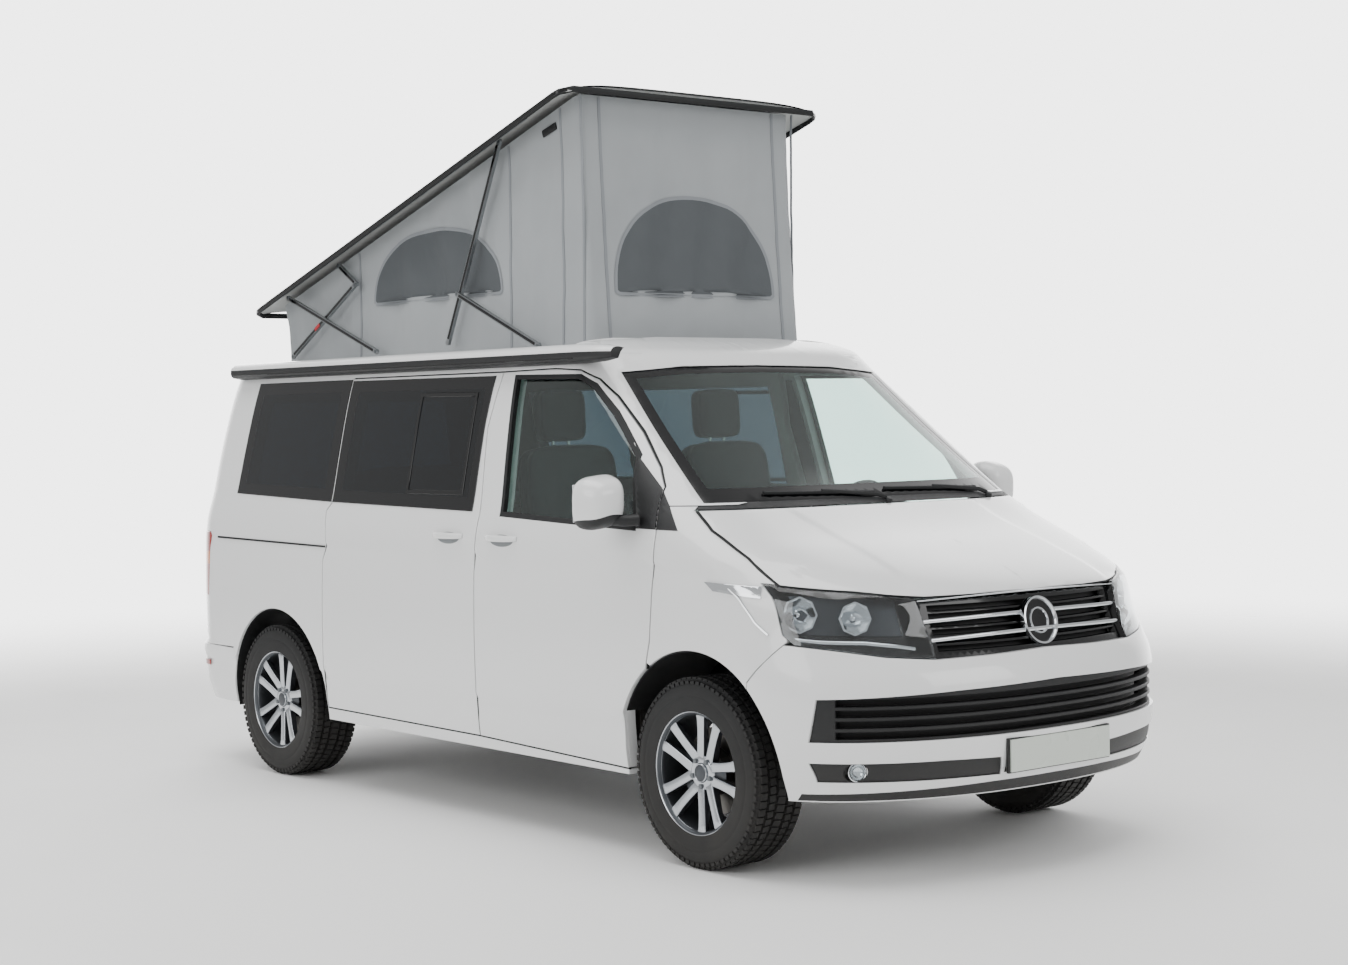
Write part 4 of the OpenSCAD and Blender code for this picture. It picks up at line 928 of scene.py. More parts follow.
class VAN_OT_doors(bpy.types.Operator):
    """Front doors, sliding door, tailgate and bonnet, with their glass and handles"""

    bl_idname = "van.doors"
    bl_label = "Doors and lids"

    def execute(self, context):
        paint, black = FINISH["paint"], FINISH["rubber"]
        step_back = GAP / 2 + 19
        keep = side(shrink(FRONT_DOOR, GAP / 2))
        rebate = side([(x + step_back, z + (8 if z > 1500 else 0)) for x, z in DOOR_REAR]
                      + [(x + 60 + step_back - 200, z) for x, z in DOOR_REAR[::-1]])
        for mirror, name in ((False, "right"), (True, "left")):
            body = "front_door_" + name
            cuts = [side(FRONT_GLASS), side(front_arch_outline(-GAP))]
            skin = panel_parts([keep], cuts, depth=(0, 19), mirror=mirror, step=(40, 30))
            core = panel_parts([keep], cuts + [rebate], depth=(19, WALL), mirror=mirror, step=(60, 50),
                               pressed=False)
            place(panel(body + "_skin", [paint], skin, core), body, "white_paint", [body])
            seal = panel_parts([side(shrink(FRONT_GLASS, -7))], [side(shrink(FRONT_GLASS, 13))],
                               depth=(-0.5, 22), mirror=mirror, step=(40, 30), pressed=False)
            place(panel(body + "_seal", [black], seal), body, "black_plastic")
            glass = panel_parts([side(shrink(FRONT_GLASS, 2))], depth=(18, 22), mirror=mirror, edge=0.6,
                                step=(60, 50), pressed=False)
            place(panel(body + "_pane", [FINISH["glass"]], glass), body, "clear_glass",
                  ["front_door_glass_" + name])
            trim = panel_parts([side(shrink(FRONT_DOOR, 40))],
                               [side(shrink(FRONT_GLASS, -22)), rebate, side(front_arch_outline(-40))],
                               depth=(WALL - 0.5, WALL + 5), mirror=mirror, step=(60, 50), pressed=False)
            place(panel(body + "_trim", [FINISH["dash"]], trim), body, "dash_plastic")
            place(handle(body + "_handle", 393, 1150, mirror), body, "white_paint")
            # Grey patch behind the handle: painted shade of the shadowed cup.
            place(painted_handle_shade(body + "_handle_cup", 393, 1150, mirror), body, "black_plastic")
        self.sliding(paint)
        self.lids(paint)
        self.gap_seals()
        return {"FINISHED"}

    def gap_seals(self):
        """Black rubber strips on the body inside each shut line: partly real seals, partly painted shade that
        darkens the gaps; they stop short of the moving panel.
        """
        shown, held = -GAP / 2 - 1, GAP / 2 - 1.4
        shade_seals = []
        for outline, sides in ((FRONT_DOOR, (False, True)), (SLIDING_DOOR, (False,))):
            for m in sides:
                shade_seals.append(panel_parts([side(shrink(outline, shown))],
                                         [side(shrink(outline, held)), side(front_arch_outline(-2))],
                                         depth=(6, 16), edge=0.5, mirror=m, pressed=False))
        lid = both(side(shrink(BONNET, shown)))
        above = dense([(-1500, 1274), (1500, 1274), (1500, 1400), (-1500, 1400)], 30)
        held_back = both(side(shrink(BONNET, held))) + [above, front(GRILLE)]
        shade_seals.append(panel_parts(lid, held_back, depth=(9, 18), edge=0.5, pressed=False))
        shade_seals.append(panel_parts([rear(shrink(TAILGATE, shown))], [rear(shrink(TAILGATE, held))],
                                 depth=(8, 18), edge=0.5, pressed=False))
        # Black strips in the shut lines: painted shade of the gaps, with the colour of a real seal.
        place(panel("gap_seals", [FINISH["rubber"]], *shade_seals), "van_body", "black_plastic")

    def sliding(self, paint):
        door = panel_parts([side(shrink(SLIDING_DOOR, GAP / 2))], [side(SLIDING_HOLE)], step=(40, 30))
        place(panel("sliding_door_skin", [paint], door), "van_body", "white_paint", ["sliding_door"])
        place(handle("sliding_door_handle", 14, 1150, False), "van_body", "white_paint")
        # Grey patch behind the handle: painted shade of the shadowed cup.
        place(painted_handle_shade("sliding_door_handle_cup", 14, 1150, False), "van_body", "black_plastic")
        rail = panel_parts([side([(-1958, 1078), (-962, 1066), (-962, 1074), (-1958, 1087)])],
                           depth=(-0.6, 2.5), edge=0.5, pressed=False)
        place(panel("slide_rail_groove", [FINISH["rubber"]], rail), "van_body", "black_plastic")

    def lids(self, paint):
        keep = both(side(shrink(BONNET, GAP / 2)))
        cowl_cut = dense([(-1500, 1277), (1500, 1277), (1500, 1400), (-1500, 1400)], 30)
        lid = panel_parts(keep, [cowl_cut], depth=(0, 28), step=(26, 9))
        place(panel("bonnet_skin", [paint], lid), "bonnet", "white_paint", ["bonnet"])
        gate = panel_parts([rear(shrink(TAILGATE, GAP / 2))], [rear(REAR_HOLE)], depth=(0, 80),
                           step=(30, 26))
        place(panel("tailgate_skin", [paint], gate), "tailgate", "white_paint", ["tailgate"])
        pane = panel_parts([rear(REAR_PANE)], depth=(-4, 0), edge=1.0, step=(40, 30),
                           zones=[rear(REAR_HOLE)], pressed=False)
        place(panel("tailgate_pane", [FINISH["frit"], FINISH["privacy"]], pane), "tailgate",
              "privacy_glass", ["tailgate_glass"])
        grip = panel_parts([rear([(-170, 1010), (170, 1010), (170, 1050), (-170, 1050)])],
                           depth=(-16, 0), edge=5, pressed=False)
        place(panel("tailgate_grip", [paint], grip), "tailgate", "white_paint")
        field = panel_parts([rear([(-262, 884), (262, 884), (262, 1000), (-262, 1000)])],
                            depth=(-3, 1), edge=1, pressed=False)
        place(panel("tailgate_plate", [FINISH["plate"]], field), "tailgate", "plate_blank")
        wiper = sweep("rear_wiper", [tuple(spot(6000 + y, z, -14))
                                     for y, z in ((40, 1150), (30, 1240), (-120, 1275), (-420, 1290))],
                      oval(16, 10), FINISH["grained"])
        place(wiper, "tailgate", "black_plastic")


def handle(name, x, z, mirror):
    """Bar handle that stands off the door skin."""
    path, size = [], []
    for k in range(13):
        t = k / 12
        u = u_side(x + 102 - 204 * t, z)
        off = -27 * (math.sin(math.pi * t) ** 0.45) - 1
        p = spot(u, z, off)
        path.append((p[0], -p[1] if mirror else p[1], p[2]))
        size.append(0.72 + 0.28 * math.sin(math.pi * t) ** 0.5)
    return sweep(name, path, oval(16, 27, 14, 2.6), FINISH["paint"], scale=size)


def painted_handle_shade(name, x, z, mirror):
    """Grey patch behind a door handle: painted shade in place of the shadowed cup."""
    cup = [(x + 78 * math.cos(t), z - 10 + 24 * math.sin(t)) for t in np.linspace(0, math.tau, 49)[:-1]]
    part = panel_parts([side(cup)], depth=(-0.8, 1.0), edge=0.7, step=(12, 12),
                       mirror=mirror, pressed=False)
    return panel(name, [FINISH["cup"]], part)


class VAN_OT_glazing(bpy.types.Operator):
    """Windscreen, fixed side panes and the sliding door's pane, with their printed edges"""

    bl_idname = "van.glazing"
    bl_label = "Glazing"

    def execute(self, context):
        clear = mirrored([(735, 1352), (645, 1770), (400, 1788), (0, 1794)])
        screen = panel_parts([front(shrink(SCREEN, 0.0))], depth=(7, 12), edge=1.0, step=(40, 24),
                             zones=[front(clear)], pressed=False)
        place(panel("windscreen_pane", [FINISH["frit"], FINISH["glass"]], screen), "van_body",
              "clear_glass", ["windscreen"])
        mats = [FINISH["frit"], FINISH["privacy"]]
        rim = 0.8
        quarter = [panel_parts([side(shrink(QUARTER_PANE, rim))], depth=(-3.5, 0.3), edge=1.2,
                               step=(50, 40), zones=[side(QUARTER_HOLE)], mirror=m, pressed=False)
                   for m in (False, True)]
        left = panel_parts([side(shrink(SLIDING_PANE, rim))], depth=(-3.5, 0.3), edge=1.2, step=(50, 40),
                           zones=[side(SLIDING_HOLE)], mirror=True, pressed=False)
        place(panel("side_panes", mats, *quarter, left), "van_body", "privacy_glass", ["side_glass"])
        slider = panel_parts([side(shrink(SLIDING_PANE, rim))], depth=(-3.5, 0.3), edge=1.2,
                             step=(50, 40), zones=[side(SLIDING_HOLE)], pressed=False)
        place(panel("sliding_door_pane", mats, slider), "van_body", "privacy_glass",
              ["sliding_door_glass"])
        sub = [(-367, 1737), (-356, 1314), (72, 1314), (60, 1733)]
        frames = [panel_parts([side(sub)], [side(shrink(sub, 17))], depth=(-6.5, -3.5), edge=1.2,
                              mirror=m, pressed=False) for m in (False, True)]
        place(panel("opening_pane_frames", [FINISH["gloss"]], *frames), "van_body", "gloss_black")
        return {"FINISHED"}


def grille_slots(reach, low, pitch, tall, count):
    """Level slots of a grille, one above the other."""
    lows = [low + pitch * i for i in range(count)]
    return [front([(-reach, z), (reach, z), (reach, z + tall), (-reach, z + tall)]) for z in lows]


class VAN_OT_grilles(bpy.types.Operator):
    """Upper grille with its bright bars and badge, lower grille, lamp strips and plates"""

    bl_idname = "van.grilles"
    bl_label = "Grilles"

    def execute(self, context):
        black, chrome = FINISH["grained"], FINISH["chrome"]
        slots = grille_slots(480, 800, 27, 18, 6)
        face = panel_parts([front(shrink(GRILLE, -0.5))], slots, depth=(22, 46), step=(24, 12),
                           pressed=False)
        grille = panel("upper_grille_bars", [FINISH["gloss"]], face)
        back = panel_parts([front(shrink(GRILLE, -4))], depth=(60, 66), pressed=False)
        mesh = panel("upper_grille_back", [black], back)
        place(joined("upper_grille", [grille, mesh]), "van_body", "gloss_black", ["radiator_grille"])
        bars = []
        for k, (z_end, z_mid, thick, reach) in enumerate(((838, 850, 15, 499), (901, 911, 15, 508),
                                                          (972, 984, 6, 517))):
            line = [(y, z_mid - (z_mid - z_end) * (y / reach) ** 2) for y in np.linspace(-reach, reach, 60)]
            path = [tuple(spot(u_end(y, z, False), z, 14 if thick > 8 else 5))
                    for y, z in line]
            bars.append(sweep("bar%d" % k, path, oval(14, thick, 12, 3), chrome))
        place(joined("grille_bright_bars", bars), "van_body", "gloss_black")
        self.badge()
        self.lower(black)
        return {"FINISHED"}

    def badge(self):
        """Plain round badge: bright ring and a blank dark dish."""
        at = spot(0, 878, 8)
        axis = Vector((0.97, 0, 0.24)).normalized()
        ring = ring_lathe("badge_ring", [(-6, 74), (8, 76), (13, 80), (12, 86), (4, 88), (-8, 88)],
                          at, axis, FINISH["chrome"])
        dish = lathe("badge_dish", [(-4, 0.0), (-4, 78), (3, 78), (2, 60), (0, 30), (-1, 0.0)], at, axis,
                     FINISH["gloss"])
        inner = ring_lathe("badge_inner", [(0, 40), (5, 42), (5, 47), (0, 49)], at, axis, FINISH["chrome"])
        place(joined("badge_blank", [ring, dish, inner]), "van_body", "gloss_black")

    def lower(self, black):
        slots = grille_slots(838, 519, 37, 24, 4)
        face = panel_parts([front(shrink(LOW_GRILLE, -0.5))], slots, within=[front(LOW_GRILLE)],
                           depth=(12, 48), step=(24, 12), edge=2.5, pressed=False)
        back = panel_parts([front(shrink(LOW_GRILLE, -3))], depth=(70, 76), pressed=False)
        strips = []
        for sign in (-1, 1):
            strip = [(sign * y, z) for y, z in shrink(FOG_STRIP, 0.3)]
            hole = [(sign * y, z) for y, z in circle(782, 407, 31, 40)]
            strips.append(panel_parts([front(strip)], [front(hole)], depth=(7, 60), step=(24, 12),
                                      edge=2, pressed=False))
        lip = panel_parts([front(mirrored([(880, 303), (880, 330), (300, 346), (0, 348)]))],
                          depth=(-0.5, 8), step=(30, 12), edge=2, pressed=False)
        place(panel("lower_grille", [black], face, back, *strips), "van_body", "black_plastic",
              ["bumper_grille"])
        place(panel("bumper_lip", [black], lip), "van_body", "black_plastic")
        lamps, rings = [], []
        for sign in (-1, 1):
            at = spot(u_end(sign * 782, 407, False), 407, 24)
            axis = (0.9, sign * 0.42, 0)
            lamps.append(lathe("fog_glass", [(0, 0.0), (0, 27), (5, 27), (9, 18), (11, 0.0)], at, axis,
                               FINISH["lens"], 40))
            lamps.append(lathe("fog_bowl", [(-22, 0.0), (-20, 16), (-4, 28), (-1, 28), (-1, 26), (-6, 22),
                                            (-16, 12), (-18, 0.0)], at, axis, FINISH["reflector"], 40))
            rings.append(ring_lathe("fog_ring", [(-4, 27), (6, 28), (9, 31), (8, 34), (-4, 34)], at, axis,
                                    FINISH["chrome"], 40))
        place(joined("fog_lamps", lamps), "van_body", "lamp_clear")
        place(joined("fog_rings", rings), "van_body", "gloss_black")
        holder = block("plate_holder", (NOSE_END - 20, -268, 371), (NOSE_END - 6, 268, 493), black, 3)
        place(holder, "van_body", "black_plastic")
        dress("number_plates", "plate")


class VAN_OT_lamps(bpy.types.Operator):
    """Headlights, side repeaters, tail lights and reflectors"""

    bl_idname = "van.lamps"
    bl_label = "Lamps"

    def execute(self, context):
        bonnet_cut = side(shrink(BONNET, -GAP / 2))
        lenses, backs = [], []
        for sign in (-1, 1):
            lamp = [(sign * y, z) for y, z in shrink(LAMP, 1.0)]
            rim = [(sign * y, z) for y, z in shrink(LAMP, 11.0)]
            cut = [bonnet_cut if sign < 0 else other_side(bonnet_cut)]
            lenses.append(panel_parts([front(lamp)], cut, depth=(0.5, 4.5), edge=1.5, step=(26, 20),
                                      pressed=False))
            backs.append(panel_parts([front(lamp)], cut, depth=(84, 90), edge=1, step=(26, 20),
                                     pressed=False))
            wall = panel_parts([front(lamp)], cut + [front(rim)], depth=(5, 88), edge=0.5, step=(26, 20),
                               pressed=False)
            backs.append(wall)
        place(panel("headlight_lenses", [FINISH["lens"]], *lenses), "van_body", "lamp_clear",
              ["headlights"])
        place(panel("headlight_housings", [FINISH["gloss"]], *backs), "van_body", "gloss_black")
        bowls, brights, backs_bright = [], [], []
        for sign in (-1, 1):
            for u, z, r, deep in ((835, 930, 57, 50), (625, 916, 52, 48)):
                at = spot(-sign * u, z, 64)
                axis = Vector((0.86, sign * 0.42, 0.08)).normalized()
                profile = [(-deep + 30 + deep * (k / 9) ** 2, max(0.0, r * k / 9)) for k in range(10)]
                outer = [(a + 2.5, b) for a, b in profile[::-1]]
                bowls.append(lathe("bowl", [(p[0] - 3, p[1] + (3 if p[1] else 0)) for p in profile]
                                   + outer, at, axis, FINISH["reflector"], 8, 20))
                bowls.append(lathe("bulb", [(-18, 0.0), (-18, 9), (4, 9), (10, 6), (12, 0.0)], at, axis,
                                   FINISH["chrome"], 24))
                brights.append(ring_lathe("bezel", [(24, r - 2), (31, r - 1), (31, r + 7), (20, r + 8)], at,
                                          axis, FINISH["chrome"], 8, 20))
            # A bright band: down the outer end, then a thinner one along the foot to the grille.
            down = [(1085, 1012), (1050, 960), (1005, 905), (950, 862)]
            foot = [(950, 858), (760, 842), (600, 836), (500, 822), (450, 812)]
            for marks, wide, high, deep in ((down, 46, 12, 16), (foot, 14, 15, 26)):
                route = []
                for a, b in zip(marks, marks[1:]):
                    route += [(a[0] + (b[0] - a[0]) * k / 6, a[1] + (b[1] - a[1]) * k / 6)
                              for k in range(6)]
                path = [tuple(spot(-sign * u, z, deep))
                        for u, z in route + [marks[-1]]]
                brights.append(sweep("band", path, oval(high, wide, 12, 4), FINISH["reflector"],
                                     up=(0.7, sign * 0.7, 0) if wide > 40 else (0, 0, 1)))
            back = [[(u, z) for u, z in dense([(-sign * 1010, 868), (-sign * 470, 850), (-sign * 470, 972),
                                               (-sign * 1010, 1000)][::-sign], 24)]]
            backs_bright.append(panel_parts(back, depth=(78, 83), edge=1, step=(26, 20), pressed=False))
        place(panel("headlight_reflectors", [FINISH["alloy_dark"]], *backs_bright), "van_body",
              "lamp_clear")
        place(joined("headlight_bowls", bowls), "van_body", "lamp_clear")
        place(joined("headlight_brights", brights), "van_body", "lamp_clear")
        self.sides()
        return {"FINISHED"}

    def sides(self):
        strip = [(1641, 1037), (1688, 1006), (1908, 989), (1897, 1030)]
        lower = [(1722, 1003), (1908, 990), (1904, 1004), (1716, 1013)]
        outer = [panel_parts([side(strip[::-1])], depth=(-4, 1), edge=1.5, step=(20, 10), mirror=m,
                             zones=[side(lower)], pressed=False) for m in (False, True)]
        place(panel("side_repeaters", [FINISH["chrome"], FINISH["reflector"]], *outer), "van_body",
              "lamp_clear")
        red, amber = FINISH["red_lens"], FINISH["amber_lens"]
        x0, x1 = TAIL_END - 50, TAIL_END + 430
        turn = side([(x0, 950), (x1, 950), (x1, 1010), (x0, 1010)])
        gate = rear(shrink(TAILGATE, -GAP))
        tails = [panel_parts([side(shrink(TAIL_LAMP, 1.2))], [gate], depth=(-1, 55), edge=3, step=(22, 18),
                             mirror=m, zones=[turn], pressed=False) for m in (False, True)]
        place(panel("tail_light_lenses", [red, amber], *tails), "van_body", "tail_lamp_red",
              ["tail_lights"])
        mark = [panel_parts([side([(-2138, 462), (-2070, 462), (-2070, 488), (-2138, 488)])], depth=(-2, 1),
                            edge=1, step=(16, 10), mirror=m, pressed=False) for m in (False, True)]
        place(panel("rear_reflectors", [red], *mark), "van_body", "tail_lamp_red")


class VAN_OT_mirrors(bpy.types.Operator):
    """Door mirrors with painted caps, black lower shells and glass"""

    bl_idname = "van.mirrors"
    bl_label = "Mirrors"

    def execute(self, context):
        head_mid = Vector((FA - 370, -(HALF + 100), 1309))
        half = (80, 90, 98)
        pts = []
        rows, cols = 24, 40
        power = 3.4
        for i in range(rows + 1):
            lat = -math.pi / 2 + math.pi * i / rows
            for j in range(cols):
                lon = math.tau * j / cols
                d = [math.cos(lat) * math.cos(lon), math.cos(lat) * math.sin(lon), math.sin(lat)]
                r = sum(abs(v) ** power for v in d) ** (-1 / power)
                x, y, z = (d[k] * r * half[k] for k in range(3))
                # The shell narrows to the front, droops outward and is cut flat behind for the glass.
                front_share = max(0.0, x / half[0])
                y *= 1 - 0.16 * front_share
                z *= 1 - 0.20 * front_share
                z -= 0.10 * (-y - 20)
                x = max(x, -62)
                pts.append(head_mid + Vector((x, y, z)))
        faces = quads(rows + 1, cols)
        low_rows, cut_back = 8, head_mid.x - 61
        marks = [int(f[0] < low_rows * cols or max(pts[f[0]].x, pts[f[2]].x) < cut_back) for f in faces]
        shell = mesh_object("mirror_shell_right", pts, faces, [FINISH["paint"], FINISH["grained"]], marks,
                            sharp=0)
        fix_normals(shell)
        smooth(shell, 50)
        glass = block("mirror_glass_right", (FA - 370 - 64.5, -(HALF + 172), 1238),
                      (FA - 370 - 61.5, -(HALF + 30), 1376), FINISH["chrome"], 1.2)
        arm = sweep("mirror_arm_right", [(FA - 296, -HALF + 16, 1245), (FA - 300, -HALF + 5, 1244),
                                         (FA - 318, -HALF - 30, 1243), (FA - 345, -HALF - 62, 1248)],
                    oval(70, 44, 16, 2.6), FINISH["grained"])
        corner = [side([(1147, 1474), (1236, 1212), (1462, 1209), (1301, 1360)])]
        # The corner plate is split at the door's front edge: its front part stays on the body.
        look = {"depth": (-2.5, 6), "edge": 2, "step": (30, 24), "pressed": False}
        corner_plate = panel_parts(corner, within=[side(shrink(FRONT_DOOR, GAP / 2))], **look)
        trims = [panel_parts(corner, [side(shrink(FRONT_DOOR, -GAP / 2))], mirror=m, **look)
                 for m in (False, True)]
        place(panel("mirror_corner_trims", [FINISH["grained"]], *trims), "van_body", "black_plastic")
        plate = panel("mirror_base_right", [FINISH["grained"]], corner_plate)
        arm = joined("mirror_foot_right", [arm, plate])
        for o, slot in ((shell, "white_paint"), (glass, "mirror_black"), (arm, "mirror_black")):
            other = mirrored_copy(o, o.name.replace("right", "left"))
            nodes = (["mirror_right"], ["mirror_left"]) if o is shell else ([], [])
            place(o, "front_door_right", slot, nodes[0])
            place(other, "front_door_left", slot, nodes[1])
        return {"FINISHED"}


class VAN_OT_awning(bpy.types.Operator):
    """Awning cassette along the right roof edge"""

    bl_idname = "van.awning"
    bl_label = "Awning"

    def execute(self, context):
        low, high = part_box("awning")
        x0, x1 = low.x * 1000 + 1, high.x * 1000 - 1
        outer_y = low.y * 1000
        profile = [(outer_y + 64, 1829), (outer_y + 12, 1838), (outer_y + 3, 1847), (outer_y, 1856),
                   (outer_y, 1874), (outer_y + 4, 1884), (outer_y + 20, 1899), (outer_y + 44, 1906),
                   (outer_y + 70, 1907), (outer_y + 96, 1902), (outer_y + 116, 1896.5),
                   (outer_y + 104, 1893), (outer_y + 84, 1870)]
        stations = [(x0, 0.0), (x0 + 12, 0.0), (x0 + 40, 0.0), (x1 - 190, 0.0), (x1 - 60, 0.18), (x1, 0.42)]
        pts = []
        n = len(profile)
        tip = (outer_y + 78, 1868)
        for x, taper in stations:
            pts += [(x, y + (tip[0] - y) * taper, z + (tip[1] - z) * taper) for y, z in profile]
        painted = range(4, 10)
        faces = quads(len(stations), n)
        marks = [int(f[0] % n in painted) for f in faces] + [0, 0]
        faces += [tuple(range(n)), tuple(range((len(stations) - 1) * n, len(stations) * n))[::-1]]
        case = mesh_object("awning_case", pts, faces, [FINISH["grained"], FINISH["paint"]], marks, sharp=0)
        fix_normals(case)
        bevelled(case, 1.5, 2, 30)
        rail = [(x, outer_y + 3, 1851) for x in np.linspace(x0 + 14, x1 - 200, 20)]
        lip = sweep("awning_rail", rail, oval(5, 7, 8), FINISH["gloss"])
        place(case, "van_body", "black_plastic", ["awning"])
        place(lip, "van_body", "black_plastic")
        return {"FINISHED"}


POLE = (TAIL_END - 381, DECK_Z + 325)
CLOSED_Z = DECK_Z + 10
PANEL_REAR = TAIL_END + 362
PANEL_FRONT = PANEL_REAR + 2676
PANEL_HALF = 703.0
ROOF_ANGLE = math.radians(next(j for j in frame["joints"] if j["name"] == "roof_hinge")["range_deg"][1])
TENT_HALF, TENT_REAR, TENT_FRONT = 572.0, TAIL_END + 540, FA - 1030


def raise_points(pts):
    """Turns points of the closed roof panel to its raised place."""
    pts = np.asarray(pts, float)
    x, z = pts[:, 0] - POLE[0], pts[:, 2] - POLE[1]
    c, s = math.cos(ROOF_ANGLE), math.sin(ROOF_ANGLE)
    return np.stack([POLE[0] + x * c - z * s, pts[:, 1], POLE[1] + x * s + z * c], -1)


class VAN_OT_roof_panel(bpy.types.Operator):
    """Raised roof panel: white skin, black edge trim and a grey lining"""

    bl_idname = "van.roof_panel"
    bl_label = "Roof panel"

    def execute(self, context):
        crown = smooth_curve([(PANEL_REAR, 40), (PANEL_REAR + 60, 60), (PANEL_REAR + 240, 90),
                              (PANEL_FRONT - 420, 90), (PANEL_FRONT - 230, 86), (PANEL_FRONT - 70, 56),
                              (PANEL_FRONT, 38)])
        xs = np.concatenate([np.linspace(PANEL_REAR, PANEL_REAR + 240, 10),
                             np.linspace(PANEL_REAR + 320, PANEL_FRONT - 440, 26),
                             np.linspace(PANEL_FRONT - 400, PANEL_FRONT, 20)])
        share = np.array([0, 0.06, 0.16, 0.3, 0.45, 0.6, 0.72, 0.82, 0.9, 0.95, 0.98, 1.0])

        def half_at(x, inset):
            """Half width: the corners in plan are rounded."""
            ends = min(x - PANEL_REAR, PANEL_FRONT - x)
            r = 70.0
            cut = r - math.sqrt(max(0.0, r * r - max(0.0, r - ends) ** 2)) if ends < r else 0.0
            return PANEL_HALF - inset - cut

        def ring(x, top, inset):
            w = half_at(x, inset)
            out = []
            for s in share[::-1]:
                y = w * s
                drop = (top - 12) * (s ** 7 * 0.80 + s ** 2.6 * 0.14)
                out.append((x, y, CLOSED_Z + top - drop - inset))
            row = [(x, w, CLOSED_Z - (3 if inset else 0))] + out
            return row + [(px, -py, pz) for px, py, pz in row[::-1]]

        outer = [ring(x, float(crown(x)), 0.0) for x in xs]
        n = len(outer[0])
        pts = [p for r in outer for p in r]
        shift = len(pts)
        inner_rows = [ring(min(max(x, PANEL_REAR + 6), PANEL_FRONT - 6), float(crown(x)), 6.0) for x in xs]
        pts += [p for r in inner_rows for p in r]
        faces, marks = [], []
        for i in range(len(xs) - 1):
            for j in range(n - 1):
                a, b = i * n + j, i * n + j + 1
                faces.append((a, b, b + n, a + n))
                marks.append(1 if j in (0, n - 2) else 0)
                faces.append((a + shift, a + n + shift, b + n + shift, b + shift))
                marks.append(2)
            for j in (0, n - 1):
                a = i * n + j
                faces.append((a, a + n, a + n + shift, a + shift))
                marks.append(1)
        for i in (0, len(xs) - 1):
            for j in range(n - 1):
                a, b = i * n + j, i * n + j + 1
                faces.append((a, b, b + shift, a + shift))
                marks.append(1)
        skin = mesh_object("roof_panel_skin", raise_points(pts), faces,
                           [FINISH["paint"], FINISH["gloss"], FINISH["liner"]], marks, sharp=0)
        fix_normals(skin)
        smooth(skin, 38)
        place(skin, "roof_panel", "white_paint", ["roof_panel"])
        edge = [(x, -half_at(x, 7)) for x in np.linspace(PANEL_REAR + 2, PANEL_FRONT - 3, 70)]
        loop = edge + [(x, -y) for x, y in edge[::-1]]
        path = raise_points([(x, y, CLOSED_Z + 6) for x, y in loop])
        trim = sweep("roof_panel_seal", path, oval(13, 26, 12, 3), FINISH["rubber"], closed=True)
        place(trim, "roof_panel", "black_plastic")
        rails = []
        for sign in (-1, 1):
            xs = np.linspace(PANEL_REAR + 120, PANEL_FRONT - 330, 24)
            path = raise_points([(x, sign * 656, CLOSED_Z + 26) for x in xs])
            rails.append(sweep("rail", path, oval(22, 16, 8, 5), FINISH["anodised"]))
        place(joined("roof_panel_rails", rails), "roof_panel", "link_aluminium")
        return {"FINISHED"}


def lid_height(x):
    """Height of the tent's top edge under the raised panel."""
    low = POLE[1] - 315 / math.cos(ROOF_ANGLE) + 22
    return low + math.tan(ROOF_ANGLE) * (x - POLE[0])


